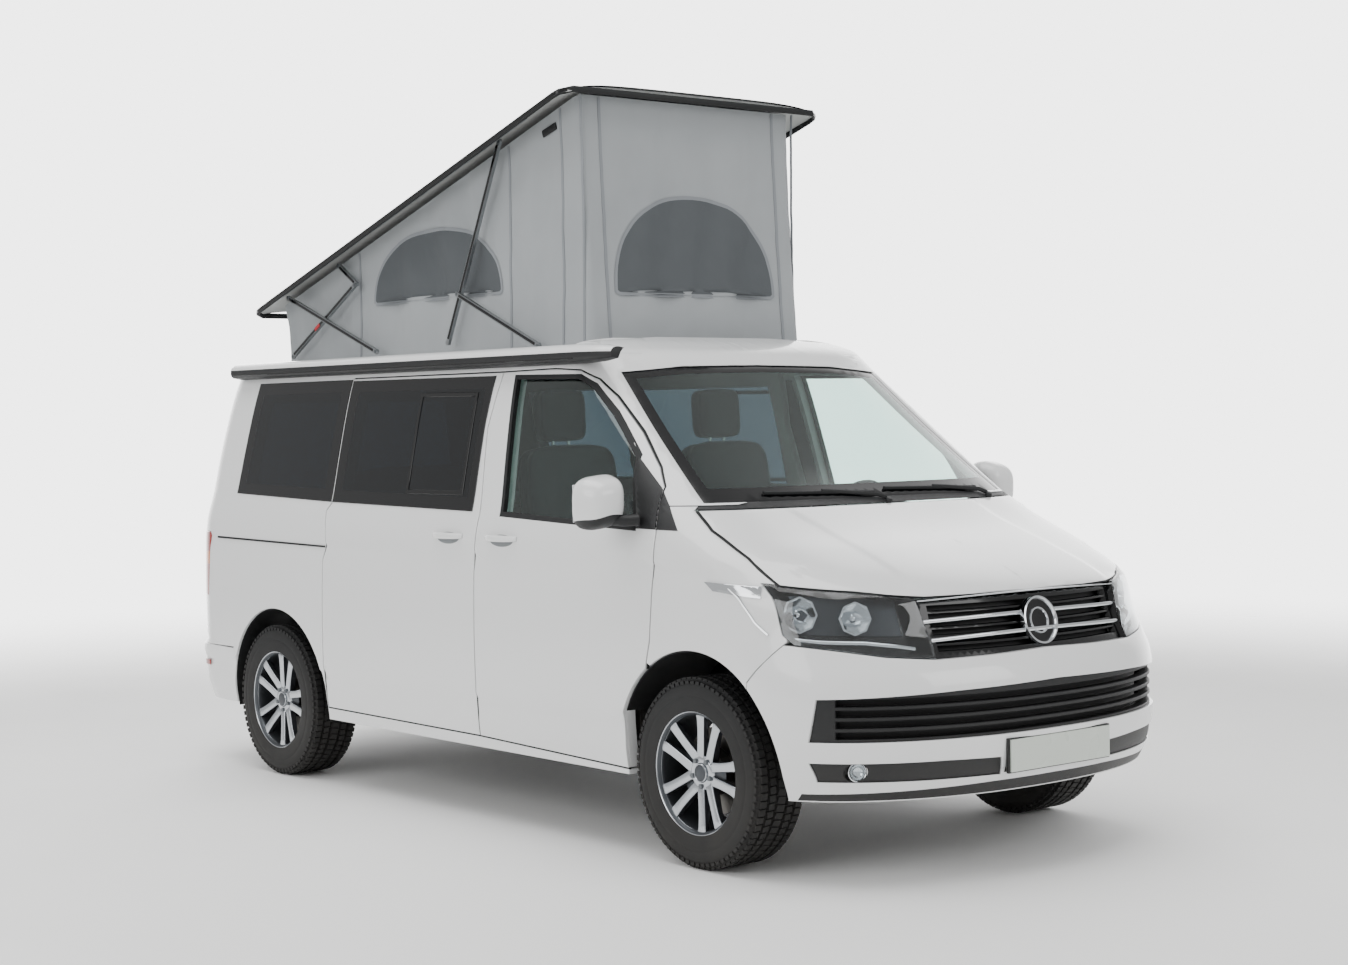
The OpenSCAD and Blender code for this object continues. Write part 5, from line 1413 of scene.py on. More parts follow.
class VAN_OT_tent(bpy.types.Operator):
    """Tent of coated cloth between the deck and the raised panel, with its mesh windows"""

    bl_idname = "van.tent"
    bl_label = "Tent"

    def execute(self, context):
        """The walls are one shaped sheet: taut at the hems, slack and creased between."""
        looks = context.scene.van_finish
        r = 34.0
        corners = [(TENT_REAR, -TENT_HALF), (TENT_FRONT, -TENT_HALF), (TENT_FRONT, TENT_HALF),
                   (TENT_REAR, TENT_HALF)]
        plan = []
        for k, (cx, cy) in enumerate(corners):
            mx, my = (r if k in (0, 3) else -r), (r if k < 2 else -r)
            for i in range(7):
                t = math.radians(180 + 90 * k + 90 * i / 6)
                plan.append((cx + mx + r * math.cos(t), cy + my + r * math.sin(t)))
        loop = dense(plan, 13.0)
        length = sum(math.dist(a, b) for a, b in zip(loop, loop[1:] + loop[:1]))
        rows = 84
        pts, flat_area = [], 0.0
        self.loop = loop
        for i, (x, y) in enumerate(loop):
            a, b = loop[i - 1], loop[(i + 1) % len(loop)]
            d = Vector((b[0] - a[0], b[1] - a[1])).normalized()
            normal = Vector((d.y, -d.x))
            top, lean = self.top(x, y)
            for j in range(rows + 1):
                t = j / rows
                px, pz = x - lean * t, DECK_Z + 2 + (top - DECK_Z - 2) * t
                slack = self.slack(px, y, pz, t, looks.tent_slack)
                pts.append((px + normal.x * slack, y + normal.y * slack, pz))
            flat_area += math.dist(a, b) / 2 * (top - DECK_Z)
        n = rows + 1
        faces = []
        for i in range(len(loop)):
            j = (i + 1) % len(loop)
            for k in range(rows):
                faces.append((i * n + k, j * n + k, j * n + k + 1, i * n + k + 1))
        sheet = mesh_object("tent_cloth", pts, faces, [FINISH["canvas"]], sharp=0)
        self.front_window = self.window("tent_window_front", None)
        sides = [self.window("tent_window_right", -1), self.window("tent_window_left", 1)]
        seams = self.seams(looks)
        extras = [self.front_window, *sides, seams, self.vents()]
        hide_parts("tent_canvas")
        for o in [sheet, *extras]:
            place(o, "van_body", "tent_cloth")
            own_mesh(o)
        tall = max(p[2] for p in pts) - DECK_Z
        tall * MM
        flat_area * MM * MM
        return {"FINISHED"}

    def top(self, x, y):
        """Height of the wall's top edge and how far the wall leans back there."""
        across = (x - TENT_REAR) / (TENT_FRONT - TENT_REAR)
        lean = 45 + 15 * across
        return lid_height(x - lean), lean

    def slack(self, x, y, z, t, amount):
        """Outward offset: wide hollows, drawn folds and small creases, none at the hems."""
        hold = math.sin(math.pi * min(1, max(0, t))) ** 0.7
        p = Vector((x, y, z)) * 0.001
        hollow = -9.0 * hold * (0.6 + 0.4 * perlin(p * 1.3))
        wave = math.sin(p.x * 21 + p.y * 23 + 2.2 * perlin(p * 2.1))
        fold = 20.0 * wave * perlin(Vector((p.x * 3, p.y * 3, p.z * 0.9)))
        drawn = 6.0 * abs(perlin(Vector((p.x * 9 + p.y * 9, p.z * 2.4, 3.1)))) * (1 + 2 * max(0, t - 0.7))
        crease = 2.4 * perlin(p * 15)
        near_hem = 1 if 0.004 < t < 0.996 else 0.3
        return (hollow + (fold - drawn + crease) * (0.25 + hold)) * amount * near_hem

    def wall_point(self, s, z, sign, out):
        """Point on a wall: on the front wall s is y, on a side wall s is x."""
        if sign is None:
            top, lean = self.top(TENT_FRONT, s)
            t = (z - DECK_Z - 2) / (top - DECK_Z - 2)
            x = TENT_FRONT - lean * t
            k = self.slack(x, s, z, t, bpy.context.scene.van_finish.tent_slack)
            return (x + k + out, s, z)
        foot = s
        for _ in range(3):
            top, lean = self.top(foot, sign)
            t = (z - DECK_Z - 2) / (top - DECK_Z - 2)
            foot = s + lean * t
        y = sign * TENT_HALF
        k = self.slack(s, y, z, t, bpy.context.scene.van_finish.tent_slack)
        return (s, y + sign * (k + out), z)

    def window(self, name, sign):
        """Half-round mesh window with a taped edge."""
        if sign is None:
            outline = self.arch(-435, 435, 2114, 2538)
        else:
            outline = self.arch(-1118, -99, 2146, 2464)
        inner = shrink(outline, 15)
        low, high = np.array(outline).min(0), np.array(outline).max(0)
        grid = np.array([(a, b) for a in np.arange(low[0] + 9, high[0], 17)
                         for b in np.arange(low[1] + 9, high[1], 17)])
        grid = grid[inside(grid, outline) & ~near_edges(grid, [outline, inner], 8)]
        flat, tris = filled([outline, inner], grid)
        tris = tris[inside(flat[tris].mean(1), outline)]
        marks = np.where(inside(flat[tris].mean(1), inner), 1, 0)
        pts = [self.wall_point(a, b, sign, 2.5) for a, b in flat]
        o = mesh_object(name, pts, [tuple(t) for t in tris], [FINISH["canvas_seam"], FINISH["mesh"]], marks,
                        sharp=0)
        want = Vector((1, 0, 0)) if sign is None else Vector((0, sign, 0))
        total = sum((p.normal * p.area for p in o.data.polygons), Vector())
        if total.dot(want) < 0:
            o.data.flip_normals()
        return o

    def arch(self, s0, s1, z0, z1):
        mid, half = (s0 + s1) / 2, (s1 - s0) / 2
        out = [(s0 + 22, z0), (s1 - 22, z0)]
        for i in range(41):
            t = math.pi * i / 40
            c = math.cos(t)
            out.append((mid + half * math.copysign(abs(c) ** 0.86, c),
                        z0 + 14 + (z1 - z0 - 14) * math.sin(t) ** 0.92))
        return out

    def seams(self, looks):
        """Flat-felled seams and hems, as ribbons on the cloth."""
        ribbons = []
        for sign in (-1, 1):
            for x in (-40, 330, 468, -1240):
                z1 = lid_height(x) - 6
                ribbons.append([self.wall_point(x, z, sign, 1.6) for z in np.linspace(DECK_Z + 4, z1, 46)])
        for y in (-470, 470):
            z1 = self.top(TENT_FRONT, y)[0] - 4
            ribbons.append([self.wall_point(y, z, None, 1.6) for z in np.linspace(DECK_Z + 4, z1, 46)])
        half = looks.seam_width * 500
        section = [(-half, -0.7), (half, -0.7), (half, 1.0), (-half, 1.0)]
        made = [sweep("seam", path, section, FINISH["canvas_seam"],
                      up=(1, 0.02, 0) if abs(path[0][1]) < 560 else (0, 1, 0)) for path in ribbons]
        hem = [(x, y, DECK_Z + 8) for x, y in self.loop[::2]]
        made.append(sweep("hem", hem, oval(7, 24, 10, 3), FINISH["rubber"], closed=True))
        return joined("tent_seams", made)

    def vents(self):
        """Small dark vents near the top of each side."""
        made = []
        for sign in (-1, 1):
            top = lid_height(300)
            pts = [self.wall_point(s, z + (s - 250) * math.tan(ROOF_ANGLE) * 0.9, sign, 4)
                   for s, z in ((210, top - 92), (300, top - 92), (300, top - 62), (210, top - 62))]
            ends = [((a[0] + b[0]) / 2, a[1], (a[2] + b[2]) / 2)
                    for a, b in ((pts[0], pts[3]), (pts[1], pts[2]))]
            made.append(sweep("vent", ends, oval(7, 30, 12, 4), FINISH["grained"]))
        return joined("tent_vents", made)


class VAN_OT_linkage(bpy.types.Operator):
    """Arms of the pop-up roof: anodised bars with a black channel, pins and feet"""

    bl_idname = "van.linkage"
    bl_label = "Roof linkage"

    def execute(self, context):
        brace = (FA - 1309, DECK_Z + 24)
        slant = math.radians(157.6)
        knee = (brace[0] + 632 * math.cos(slant), brace[1] + 632 * math.sin(slant))
        lower, upper = (TAIL_END + 664, DECK_Z + 43), (TAIL_END + 1439, DECK_Z + 41)
        short = raise_points([(TAIL_END + 1048, 0, DECK_Z + 19)])[0]
        bars = [("roof_braces", brace, 157.6, 20, 612, 631),
                ("roof_main_arms", knee, 63.5, -210, 674, 614),
                ("rear_links_lower", lower, 28.3, 20, 632, 614),
                ("rear_links_upper", upper, 160.1, 20, 810, 631),
                ("rear_short_links", (short[0], short[2]), -48.6 + math.degrees(ROOF_ANGLE), 16, 162, 597)]
        for name, foot, rise, start, end, y in bars:
            dress(name, "anodised")
            d = Vector((math.cos(math.radians(rise)), 0, math.sin(math.radians(rise))))
            made = []
            for sign in (-1, 1):
                base = Vector((foot[0], sign * (y + 7.4), foot[1]))
                path = [base + d * t for t in (start, start + 3, end - 3, end)]
                made.append(sweep("channel", path, [(-1.2, -5.5), (1.2, -5.5), (1.2, 5.5), (-1.2, 5.5)],
                                  FINISH["gloss"], up=(-d.z, 0, d.x)))
                for t in (0.0, end + 20):
                    at = base + d * t + Vector((0, sign * 0.2, 0))
                    made.append(lathe("pin", [(-1, 0.0), (-1, 8), (0.9, 8), (1.4, 6.5), (1.4, 0.0)], at,
                                      (0, sign, 0), FINISH["zinc"], 20))
            place(joined(name + "_channel", made), name, "link_aluminium")
        d = Vector((math.cos(math.radians(28.3)), 0, math.sin(math.radians(28.3))))
        red = [sweep("mark", [Vector((lower[0], sign * 622.8, lower[1])) + d * t for t in (250, 300)],
                     [(-0.8, -8), (0.8, -8), (0.8, 8), (-0.8, 8)], FINISH["red_tab"], up=(-d.z, 0, d.x))
               for sign in (-1, 1)]
        place(joined("link_red_marks", red), "rear_links_lower")
        return {"FINISHED"}


def tread_tree():
    """Ring of tread blocks: a block is copied round the wheel's axis."""
    tree = bpy.data.node_groups.new("tread_ring", "GeometryNodeTree")
    face = tree.interface
    for name, kind, value in (("Count", "NodeSocketInt", 64), ("Radius", "NodeSocketFloat", 0.34),
                              ("Across", "NodeSocketFloat", 0.0),
                              ("Size", "NodeSocketVector", (0.02, 0.03, 0.008)),
                              ("Twist", "NodeSocketFloat", 0.3), ("Phase", "NodeSocketFloat", 0.0)):
        sock = face.new_socket(name, in_out="INPUT", socket_type=kind)
        sock.default_value = value
    face.new_socket("Material", in_out="INPUT", socket_type="NodeSocketMaterial")
    face.new_socket("Geometry", in_out="OUTPUT", socket_type="NodeSocketGeometry")
    gin, gout = tree.nodes.new("NodeGroupInput"), tree.nodes.new("NodeGroupOutput")
    o = gin.outputs
    line = node(tree, "GeometryNodeMeshLine", Count=o["Count"])
    index = node(tree, "GeometryNodeInputIndex").outputs[0]
    share = combine(tree, "ADD", combine(tree, "DIVIDE", index, o["Count"]), o["Phase"])
    angle = combine(tree, "MULTIPLY", share, math.tau)
    along = combine(tree, "MULTIPLY", combine(tree, "SINE", angle), o["Radius"])
    up = combine(tree, "MULTIPLY", combine(tree, "COSINE", angle), o["Radius"])
    seat = node(tree, "ShaderNodeCombineXYZ", X=along, Y=o["Across"], Z=up)
    placed = node(tree, "GeometryNodeSetPosition", Geometry=line.outputs[0], Position=seat.outputs[0])
    lump = node(tree, "GeometryNodeMeshCube", Size=o["Size"])
    rotation = node(tree, "ShaderNodeCombineXYZ", Y=angle)
    spin = node(tree, "ShaderNodeCombineXYZ", Z=o["Twist"])
    both_turns = node(tree, "FunctionNodeRotateRotation", {"rotation_space": "LOCAL"},
                      Rotation=rotation.outputs[0], Rotate_By=spin.outputs[0])
    copies = node(tree, "GeometryNodeInstanceOnPoints", Points=placed.outputs[0], Instance=lump.outputs[0],
                  Rotation=both_turns.outputs[0])
    real = node(tree, "GeometryNodeRealizeInstances", Geometry=copies.outputs[0])
    done = node(tree, "GeometryNodeSetMaterial", Geometry=real.outputs[0], Material=o["Material"])
    tree.links.new(done.outputs[0], gout.inputs["Geometry"])
    return tree


def grown(name, tree, settings):
    """Mesh object made by a geometry nodes tree."""
    o = mesh_object(name, [(0, 0, 0)], [], [settings["Material"]], sharp=0)
    mod = o.modifiers.new("made", "NODES")
    mod.node_group = tree
    ids = {i.name: i.identifier for i in tree.interface.items_tree if i.in_out == "INPUT"}
    for key, value in settings.items():
        mod[ids[key]] = value
    bake(o)
    return o


class VAN_OT_wheels(bpy.types.Operator):
    """Tyres with tread blocks and five-spoke alloy rims with discs, nuts and blank caps"""

    bl_idname = "van.wheels"
    bl_label = "Wheels"

    def execute(self, context):
        looks = context.scene.van_finish
        tyre, rim, disc = self.tyre(looks), self.rim(), self.disc()
        for x, s, tag in ((FA, -1, "front_%s_right"), (FA, 1, "front_%s_left"), (RA, -1, "rear_%s_right"),
                          (RA, 1, "rear_%s_left")):
            body = tag % "wheel"
            y = s * abs(FRONT_WHEEL.y)
            for o, part, slot, nodes in ((tyre, "tyre", "tyre_rubber", [tag % "tyre"]),
                                         (rim, "rim", "rim_alloy", [tag % "rim"]),
                                         (disc, "disc", "steel_parts", [])):
                mesh = o.data.copy()
                if s < 0:
                    mesh.transform(Matrix.Rotation(math.pi, 4, "Z"))
                mesh.transform(Matrix.Translation(Vector((x, y, TYRE_R)) * MM))
                new = bpy.data.objects.new((tag % part) + "_made", mesh)
                context.scene.collection.objects.link(new)
                place(new, body, slot, nodes)
        for o in (tyre, rim, disc):
            bpy.data.objects.remove(o)
        return {"FINISHED"}

    def tyre(self, looks):
        rubber = FINISH["tyre"]
        base = TYRE_R - 8.5
        side_wall = [(-104, 219), (-113, 222), (-115, 232), (-116, 246), (-117, 262), (-117, 275),
                     (-116.2, 277), (-116.2, 281), (-117, 283), (-116, 300), (-112, 316), (-105, 328),
                     (-97, base - 3)]
        grooves = []
        for a, b in ((-97, -68), (-58, -30), (-20, 20), (30, 58), (68, 97)):
            grooves += [(a, base), (b, base)]
            if b < 97:
                grooves += [(b + 1.5, base - 7), (b + 8.5, base - 7)]
        profile = side_wall + grooves + [(-a, r) for a, r in side_wall[::-1]] + [(92, 217), (-92, 217)]
        body = ring_lathe("tyre_body", profile, (0, 0, 0), (0, 1, 0), rubber, 112, 30)
        tree = tread_tree()
        parts = [body]
        pitch = looks.tread_blocks
        for k, (y, wide, twist, count) in enumerate(((-83, 27, 0.12, pitch), (-44, 26, 0.42, pitch),
                                                     (0, 36, -0.38, pitch), (44, 26, 0.42, pitch),
                                                     (83, 27, 0.12, pitch))):
            long = math.tau * TYRE_R / count * 0.80
            parts.append(grown("row", tree, {
                "Count": count, "Radius": (TYRE_R - 5.0) * MM, "Across": y * MM,
                "Size": Vector((long, wide, 8.6)) * MM, "Twist": twist * 0.35, "Phase": k * 0.37 / count,
                "Material": rubber}))
        for sign in (-1, 1):
            parts.append(grown("lugs", tree, {
                "Count": pitch, "Radius": (TYRE_R - 20.0) * MM, "Across": sign * 105.5 * MM,
                "Size": Vector((19, 15, 12)) * MM, "Twist": 0.0, "Phase": 0.25 / pitch,
                "Material": rubber}))
        return joined("tyre_made", parts)

    def rim(self):
        silver, dark = FINISH["alloy"], FINISH["alloy_dark"]
        barrel = ring_lathe("barrel", [(-104, 228), (-111, 228), (-111, 221), (-104, 213), (-96, 205),
                                       (-30, 199), (60, 203), (84, 206), (100, 209), (108, 217), (111, 222),
                                       (112, 228), (108, 228), (104, 217), (98, 215), (-98, 215)],
                            (0, 0, 0), (0, 1, 0), dark, 112, 34)
        lip = ring_lathe("lip", [(96, 208), (105, 214), (111, 221), (113.5, 226), (112.5, 228.5),
                                 (109, 228), (100, 216), (92, 212)], (0, 0, 0), (0, 1, 0), silver, 112, 40)
        made = [barrel, lip]
        for k in range(5):
            turn = Matrix.Rotation(math.tau * (k + 0.5) / 5 + math.radians(18), 4, "Y")
            for e in (-1, 1):
                made.append(self.spoke(turn, e, silver, dark))
            made.append(self.web(turn, dark))
        hub = lathe("hub", [(50, 0.0), (50, 66), (72, 66), (80, 60), (83, 50), (82, 36), (79, 33),
                            (79, 0.0)], (0, 0, 0), (0, 1, 0), silver, 64, 28)
        cap = lathe("cap", [(74, 0.0), (74, 31), (84, 31), (87, 28), (88.5, 20), (89, 0.0)], (0, 0, 0),
                    (0, 1, 0), dark, 48, 28)
        cap_ring = ring_lathe("cap_ring", [(84, 29), (88, 29.5), (89, 32), (87, 34), (82, 34)], (0, 0, 0),
                              (0, 1, 0), silver, 48, 30)
        made += [hub, cap, cap_ring]
        tree = nut_tree()
        made.append(grown("nuts", tree, {"Count": 5, "Radius": 49 * MM, "Depth": 81.0 * MM,
                                         "Size": 9.5 * MM, "Material": FINISH["zinc"]}))
        return joined("rim_made", made)

    def spoke(self, turn, e, silver, dark):
        """One leg of a twin spoke: a tapered bar with a bright face and dark sides."""
        pts = []
        # Each station: radius, offset from the spoke's middle, half width, bright face and back.
        stations = [(44, 23, 19, 80, 48), (70, 26, 18, 84, 52), (110, 31, 17.5, 89, 60),
                    (150, 37, 18, 94, 68), (182, 43, 19.5, 98, 76), (208, 50, 23, 101, 84)]
        for r, off, wide, top, low in stations:
            c = e * off
            for a, y in ((-wide, low), (-wide, top - 3.5), (-wide + 2.6, top), (wide - 2.6, top),
                         (wide, top - 3.5), (wide, low)):
                pts.append(turn @ Vector((c + a, y, r)))
        m = 6
        faces = quads(len(stations), m)
        marks = [0 if f[0] % m in (1, 2, 3) else 1 for f in faces] + [1, 1]
        faces += [tuple(range(m)), tuple(range((len(stations) - 1) * m, len(stations) * m))]
        o = mesh_object("spoke", pts, faces, [silver, dark], marks, sharp=0)
        fix_normals(o)
        mod = o.modifiers.new("round", "BEVEL")
        mod.width, mod.segments, mod.limit_method, mod.angle_limit = 1.0 * MM, 2, "ANGLE", math.radians(25)
        bake(o)
        return o

    def web(self, turn, dark):
        """Dark bridge between the legs near the hub."""
        pts = []
        stations = [(46, 14, 66, 52), (80, 14, 70, 56), (104, 15, 70, 60), (118, 12, 66, 62)]
        for r, wide, top, low in stations:
            pts += [turn @ Vector((a, y, r))
                    for a, y in ((-wide, low), (-wide, top), (wide, top), (wide, low))]
        faces = quads(len(stations), 4) + [(0, 1, 2, 3), (12, 13, 14, 15)]
        o = mesh_object("web", pts, faces, [dark], sharp=0)
        fix_normals(o)
        return o

    def disc(self):
        """Vented brake disc and its hat."""
        steel, cast = FINISH["steel"], FINISH["cast"]
        plate = ring_lathe("plate", [(-13, 84), (-13, 156), (-3, 157), (-3, 150), (1, 150), (1, 157),
                                     (10, 156), (10, 84)], (0, 0, 0), (0, 1, 0), steel, 72, 30)
        hat = lathe("hat", [(-12, 0.0), (-12, 88), (10, 88), (46, 82), (50, 76), (50, 0.0)], (0, 0, 0),
                    (0, 1, 0), cast, 48, 30)
        return joined("disc_made", [plate, hat])


def nut_tree():
    """Ring of wheel nuts round the hub."""
    tree = bpy.data.node_groups.new("nut_ring", "GeometryNodeTree")
    face = tree.interface
    for name, kind in (("Count", "NodeSocketInt"), ("Radius", "NodeSocketFloat"),
                       ("Depth", "NodeSocketFloat"), ("Size", "NodeSocketFloat"),
                       ("Material", "NodeSocketMaterial")):
        face.new_socket(name, in_out="INPUT", socket_type=kind)
    face.new_socket("Geometry", in_out="OUTPUT", socket_type="NodeSocketGeometry")
    gin, gout = tree.nodes.new("NodeGroupInput"), tree.nodes.new("NodeGroupOutput")
    o = gin.outputs
    ring = node(tree, "GeometryNodeMeshCircle", Vertices=o["Count"], Radius=o["Radius"])
    laid = node(tree, "GeometryNodeTransform", Geometry=ring.outputs[0])
    laid.inputs["Rotation"].default_value = (math.pi / 2, 0.31, 0)
    shift = node(tree, "ShaderNodeCombineXYZ", Y=o["Depth"])
    tree.links.new(shift.outputs[0], laid.inputs["Translation"])
    nut = node(tree, "GeometryNodeMeshCylinder", Vertices=6, Radius=o["Size"], Depth=0.016)
    turned = node(tree, "GeometryNodeTransform", Geometry=nut.outputs[0])
    turned.inputs["Rotation"].default_value = (math.pi / 2, 0, 0)
    copies = node(tree, "GeometryNodeInstanceOnPoints", Points=laid.outputs[0], Instance=turned.outputs[0])
    real = node(tree, "GeometryNodeRealizeInstances", Geometry=copies.outputs[0])
    done = node(tree, "GeometryNodeSetMaterial", Geometry=real.outputs[0], Material=o["Material"])
    tree.links.new(done.outputs[0], gout.inputs["Geometry"])
    return tree


class VAN_OT_arch_liners(bpy.types.Operator):
    """Moulded liners of the wheel arches and their black lips"""

    bl_idname = "van.arch_liners"
    bl_label = "Wheel arch liners"

    def execute(self, context):
        made = []
        for sign in (-1, 1):
            for cx, r, start, stop, inner in ((FA + 19, 439.5, -6, 154, 600),
                                              (RA + 36, 422.5, -8, 188, 660)):
                pts, faces = [], []
                steps, across = 48, 8
                for i in range(steps + 1):
                    t = math.radians(start + (stop - start) * i / steps)
                    rib = 3.0 * (0.5 + 0.5 * math.cos(i * math.pi / 3))
                    for k in range(across + 1):
                        y = 880 - (880 - inner) * k / across
                        ribbed = r - rib * (0 < k < across)
                        x, z = cx + ribbed * math.cos(t), TYRE_R + ribbed * math.sin(t)
                        if k == 0:
                            u = u_side(x, max(300, z))
                            y = abs(spot(u, z, 12)[1])
                        pts.append((x, sign * y, z))
                n = across + 1
                for i in range(steps):
                    for k in range(across):
                        a = i * n + k
                        faces.append((a, a + 1, a + n + 1, a + n))
                o = mesh_object("liner", pts, faces, [FINISH["grained"]], sharp=0)
                mod = o.modifiers.new("wall", "SOLIDIFY")
                mod.thickness, mod.offset = 3 * MM, 0
                bake(o)
                o.data.shade_smooth()
                made.append(o)
        place(joined("arch_liners", made), "van_body", "black_plastic")
        return {"FINISHED"}


def pad(name, centre, size, bulge, material, turn=None, seams=(), piping=None):
    """Padded form: crowned faces, sides pulled in between the corners, sewn channels across it."""
    n = 14
    sx, sy, sz = (v / 2 for v in size)
    work = bmesh.new()
    bmesh.ops.create_cube(work, size=2)
    bmesh.ops.subdivide_edges(work, edges=work.edges, cuts=n, use_grid_fill=True)
    for v in work.verts:
        x, y, z = v.co
        p = 6.0
        r = (abs(x) ** p + abs(y) ** p + abs(z) ** p) ** (-1 / p)
        x, y, z = x * r, y * r, z * r
        crown = (1 - x * x) * (1 - y * y)
        pulled = 1 - 0.06 * (1 - abs(z)) * (abs(x) + abs(y)) / 2
        depth = 0.0
        for axis, at, wide in seams:
            d = ((x, y)[axis] - at) / wide
            depth += math.exp(-d * d) * 0.10
        zz = z * (1 - (depth if z > 0 else 0)) + (bulge / sz) * crown * (1 if z > 0 else -0.3) * abs(z)
        v.co = Vector((x * sx * pulled, y * sy * pulled, zz * sz))
    mesh = bpy.data.meshes.new(name)
    work.to_mesh(mesh)
    work.free()
    move = Matrix.Translation(Vector(centre)) @ (turn or Matrix.Identity(4))
    mesh.transform(Matrix.Scale(MM, 4) @ move)
    mesh.materials.append(material)
    mesh.shade_smooth()
    o = bpy.data.objects.new(name, mesh)
    bpy.context.scene.collection.objects.link(o)
    return o


class VAN_OT_interior(bpy.types.Operator):
    """Seats, bench, dashboard, steering wheel, cabinet and grab handles"""

    bl_idname = "van.interior"
    bl_label = "Interior"

    def execute(self, context):
        cloth, flank = FINISH["seat_cloth"], FINISH["seat_side"]
        soft = []
        for y, tag in ((-430, "right"), (430, "left")):
            x = FA - 1354
            seat = pad("seat_pad_" + tag, (x + 222, y, 895), (540, 490, 140), 16, cloth,
                       seams=((0, 0.45, 0.05), (0, -0.2, 0.05), (1, 0.62, 0.05), (1, -0.62, 0.05)))
            face = Matrix.Rotation(math.radians(90 - 8), 4, "Y")
            back = pad("seat_back_" + tag, (x - 16, y, 1232), (560, 460, 132), 14, cloth, turn=face,
                       seams=((0, -0.4, 0.05), (0, 0.3, 0.05), (1, 0.6, 0.06), (1, -0.6, 0.06)))
            rest = pad("headrest_" + tag, (x - 90, y, 1630), (218, 230, 90), 8, cloth,
                       turn=Matrix.Rotation(math.radians(86), 4, "Y"), seams=())
            base = block("seat_base_" + tag, (x + 60, y - 198, 571), (x + 378, y + 198, 832),
                         FINISH["dash"], 14)
            posts = [lathe("post", [(0, 0.0), (0, 6.8), (135, 6.8), (135, 0.0)], (x - 84, y + e, 1440),
                           (0, 0, 1), FINISH["chrome"], 20) for e in (-40, 40)]
            rests = [block("arm", (x + 20, y + e - 22, 1105), (x + 330, y + e + 22, 1150), flank, 16)
                     for e in (-252, 252)]
            first = tag == "right"
            place(seat, "van_body", "seat_fabric", ["front_seats"] if first else [])
            soft += [seat, back, rest]
            place(back, "van_body", "seat_fabric")
            place(rest, "van_body", "seat_fabric")
            place(joined("seat_frame_" + tag, [base, *posts, *rests]), "van_body", "dash_plastic")
        mid_y = -90
        base = block("bench_base", (RA + 130, -560, 571), (RA + 550, 380, 849), FINISH["laminate"], 4)
        place(base, "van_body", "cabinet_laminate", ["rear_bench"])
        cushion = pad("bench_cushion", (RA + 360, mid_y, 922), (520, 950, 144), 12, cloth,
                      seams=((1, 0.0, 0.02), (0, 0.3, 0.05)))
        lean = Matrix.Rotation(math.radians(-8), 4, "Y")
        back = pad("bench_back", (RA + 16, mid_y, 1128), (556, 950, 136), 12, cloth,
                   turn=lean @ Matrix.Rotation(math.radians(90), 4, "Y"),
                   seams=((1, 0.0, 0.02), (0, 0.1, 0.05)))
        place(cushion, "van_body", "seat_fabric")
        place(back, "van_body", "seat_fabric")
        soft += [cushion, back]
        self.front(context)
        dress("kitchen_cabinet", "laminate")
        return {"FINISHED"}

    def front(self, context):
        dress("dashboard", "dash")
        dress("steering_wheel", "dash")
        hood = sweep("instrument_hood", [(FA - 476, 430 + y, 1196 + 36 * (1 - (y / 190) ** 2)) for y in
                                         np.linspace(-190, 190, 22)], oval(120, 16, 14, 3), FINISH["dash"],
                     up=(0.3, 0, 1))
        vents = []
        for y in (-640, -60, 60, 640):
            for k in range(4):
                low = 1150 + k * 12
                vents.append(block("slat", (FA - 512, y - 52, low), (FA - 500, y + 52, low + 5),
                                   FINISH["gloss"], 1.2))
        screen = block("console_screen", (FA - 524, -96, 1052), (FA - 506, 96, 1140), FINISH["gloss"], 4)
        place(joined("dash_vents", vents), "van_body", "gloss_black")
        place(joined("dash_details", [hood, screen]), "van_body", "dash_plastic")
        grips = []
        for sign in (-1, 1):
            base = [(972, 736, 1642), (992, 722, 1620), (1074, 722, 1560), (1134, 738, 1500),
                    (1146, 764, 1484)]
            pts = [Vector((x, sign * y, z)) for x, y, z in base]
            path = []
            for k in range(21):
                t = k / 20 * (len(pts) - 1)
                i = min(int(t), len(pts) - 2)
                path.append(pts[i].lerp(pts[i + 1], t - i))
            grips.append(sweep("grip", path, oval(22, 30, 12), FINISH["liner"]))
        place(joined("pillar_grips", grips), "van_body")
        lining = [panel_parts([side([(-2050, 1240), (-2050, 1815), (-1000, 1815), (-1000, 1240)])],
                              [side(shrink(QUARTER_HOLE, -6))], depth=(WALL + 1, WALL + 4),
                              step=(60, 50), mirror=m, pressed=False) for m in (False, True)]
        place(panel("quarter_lining", [FINISH["liner"]], *lining), "van_body")


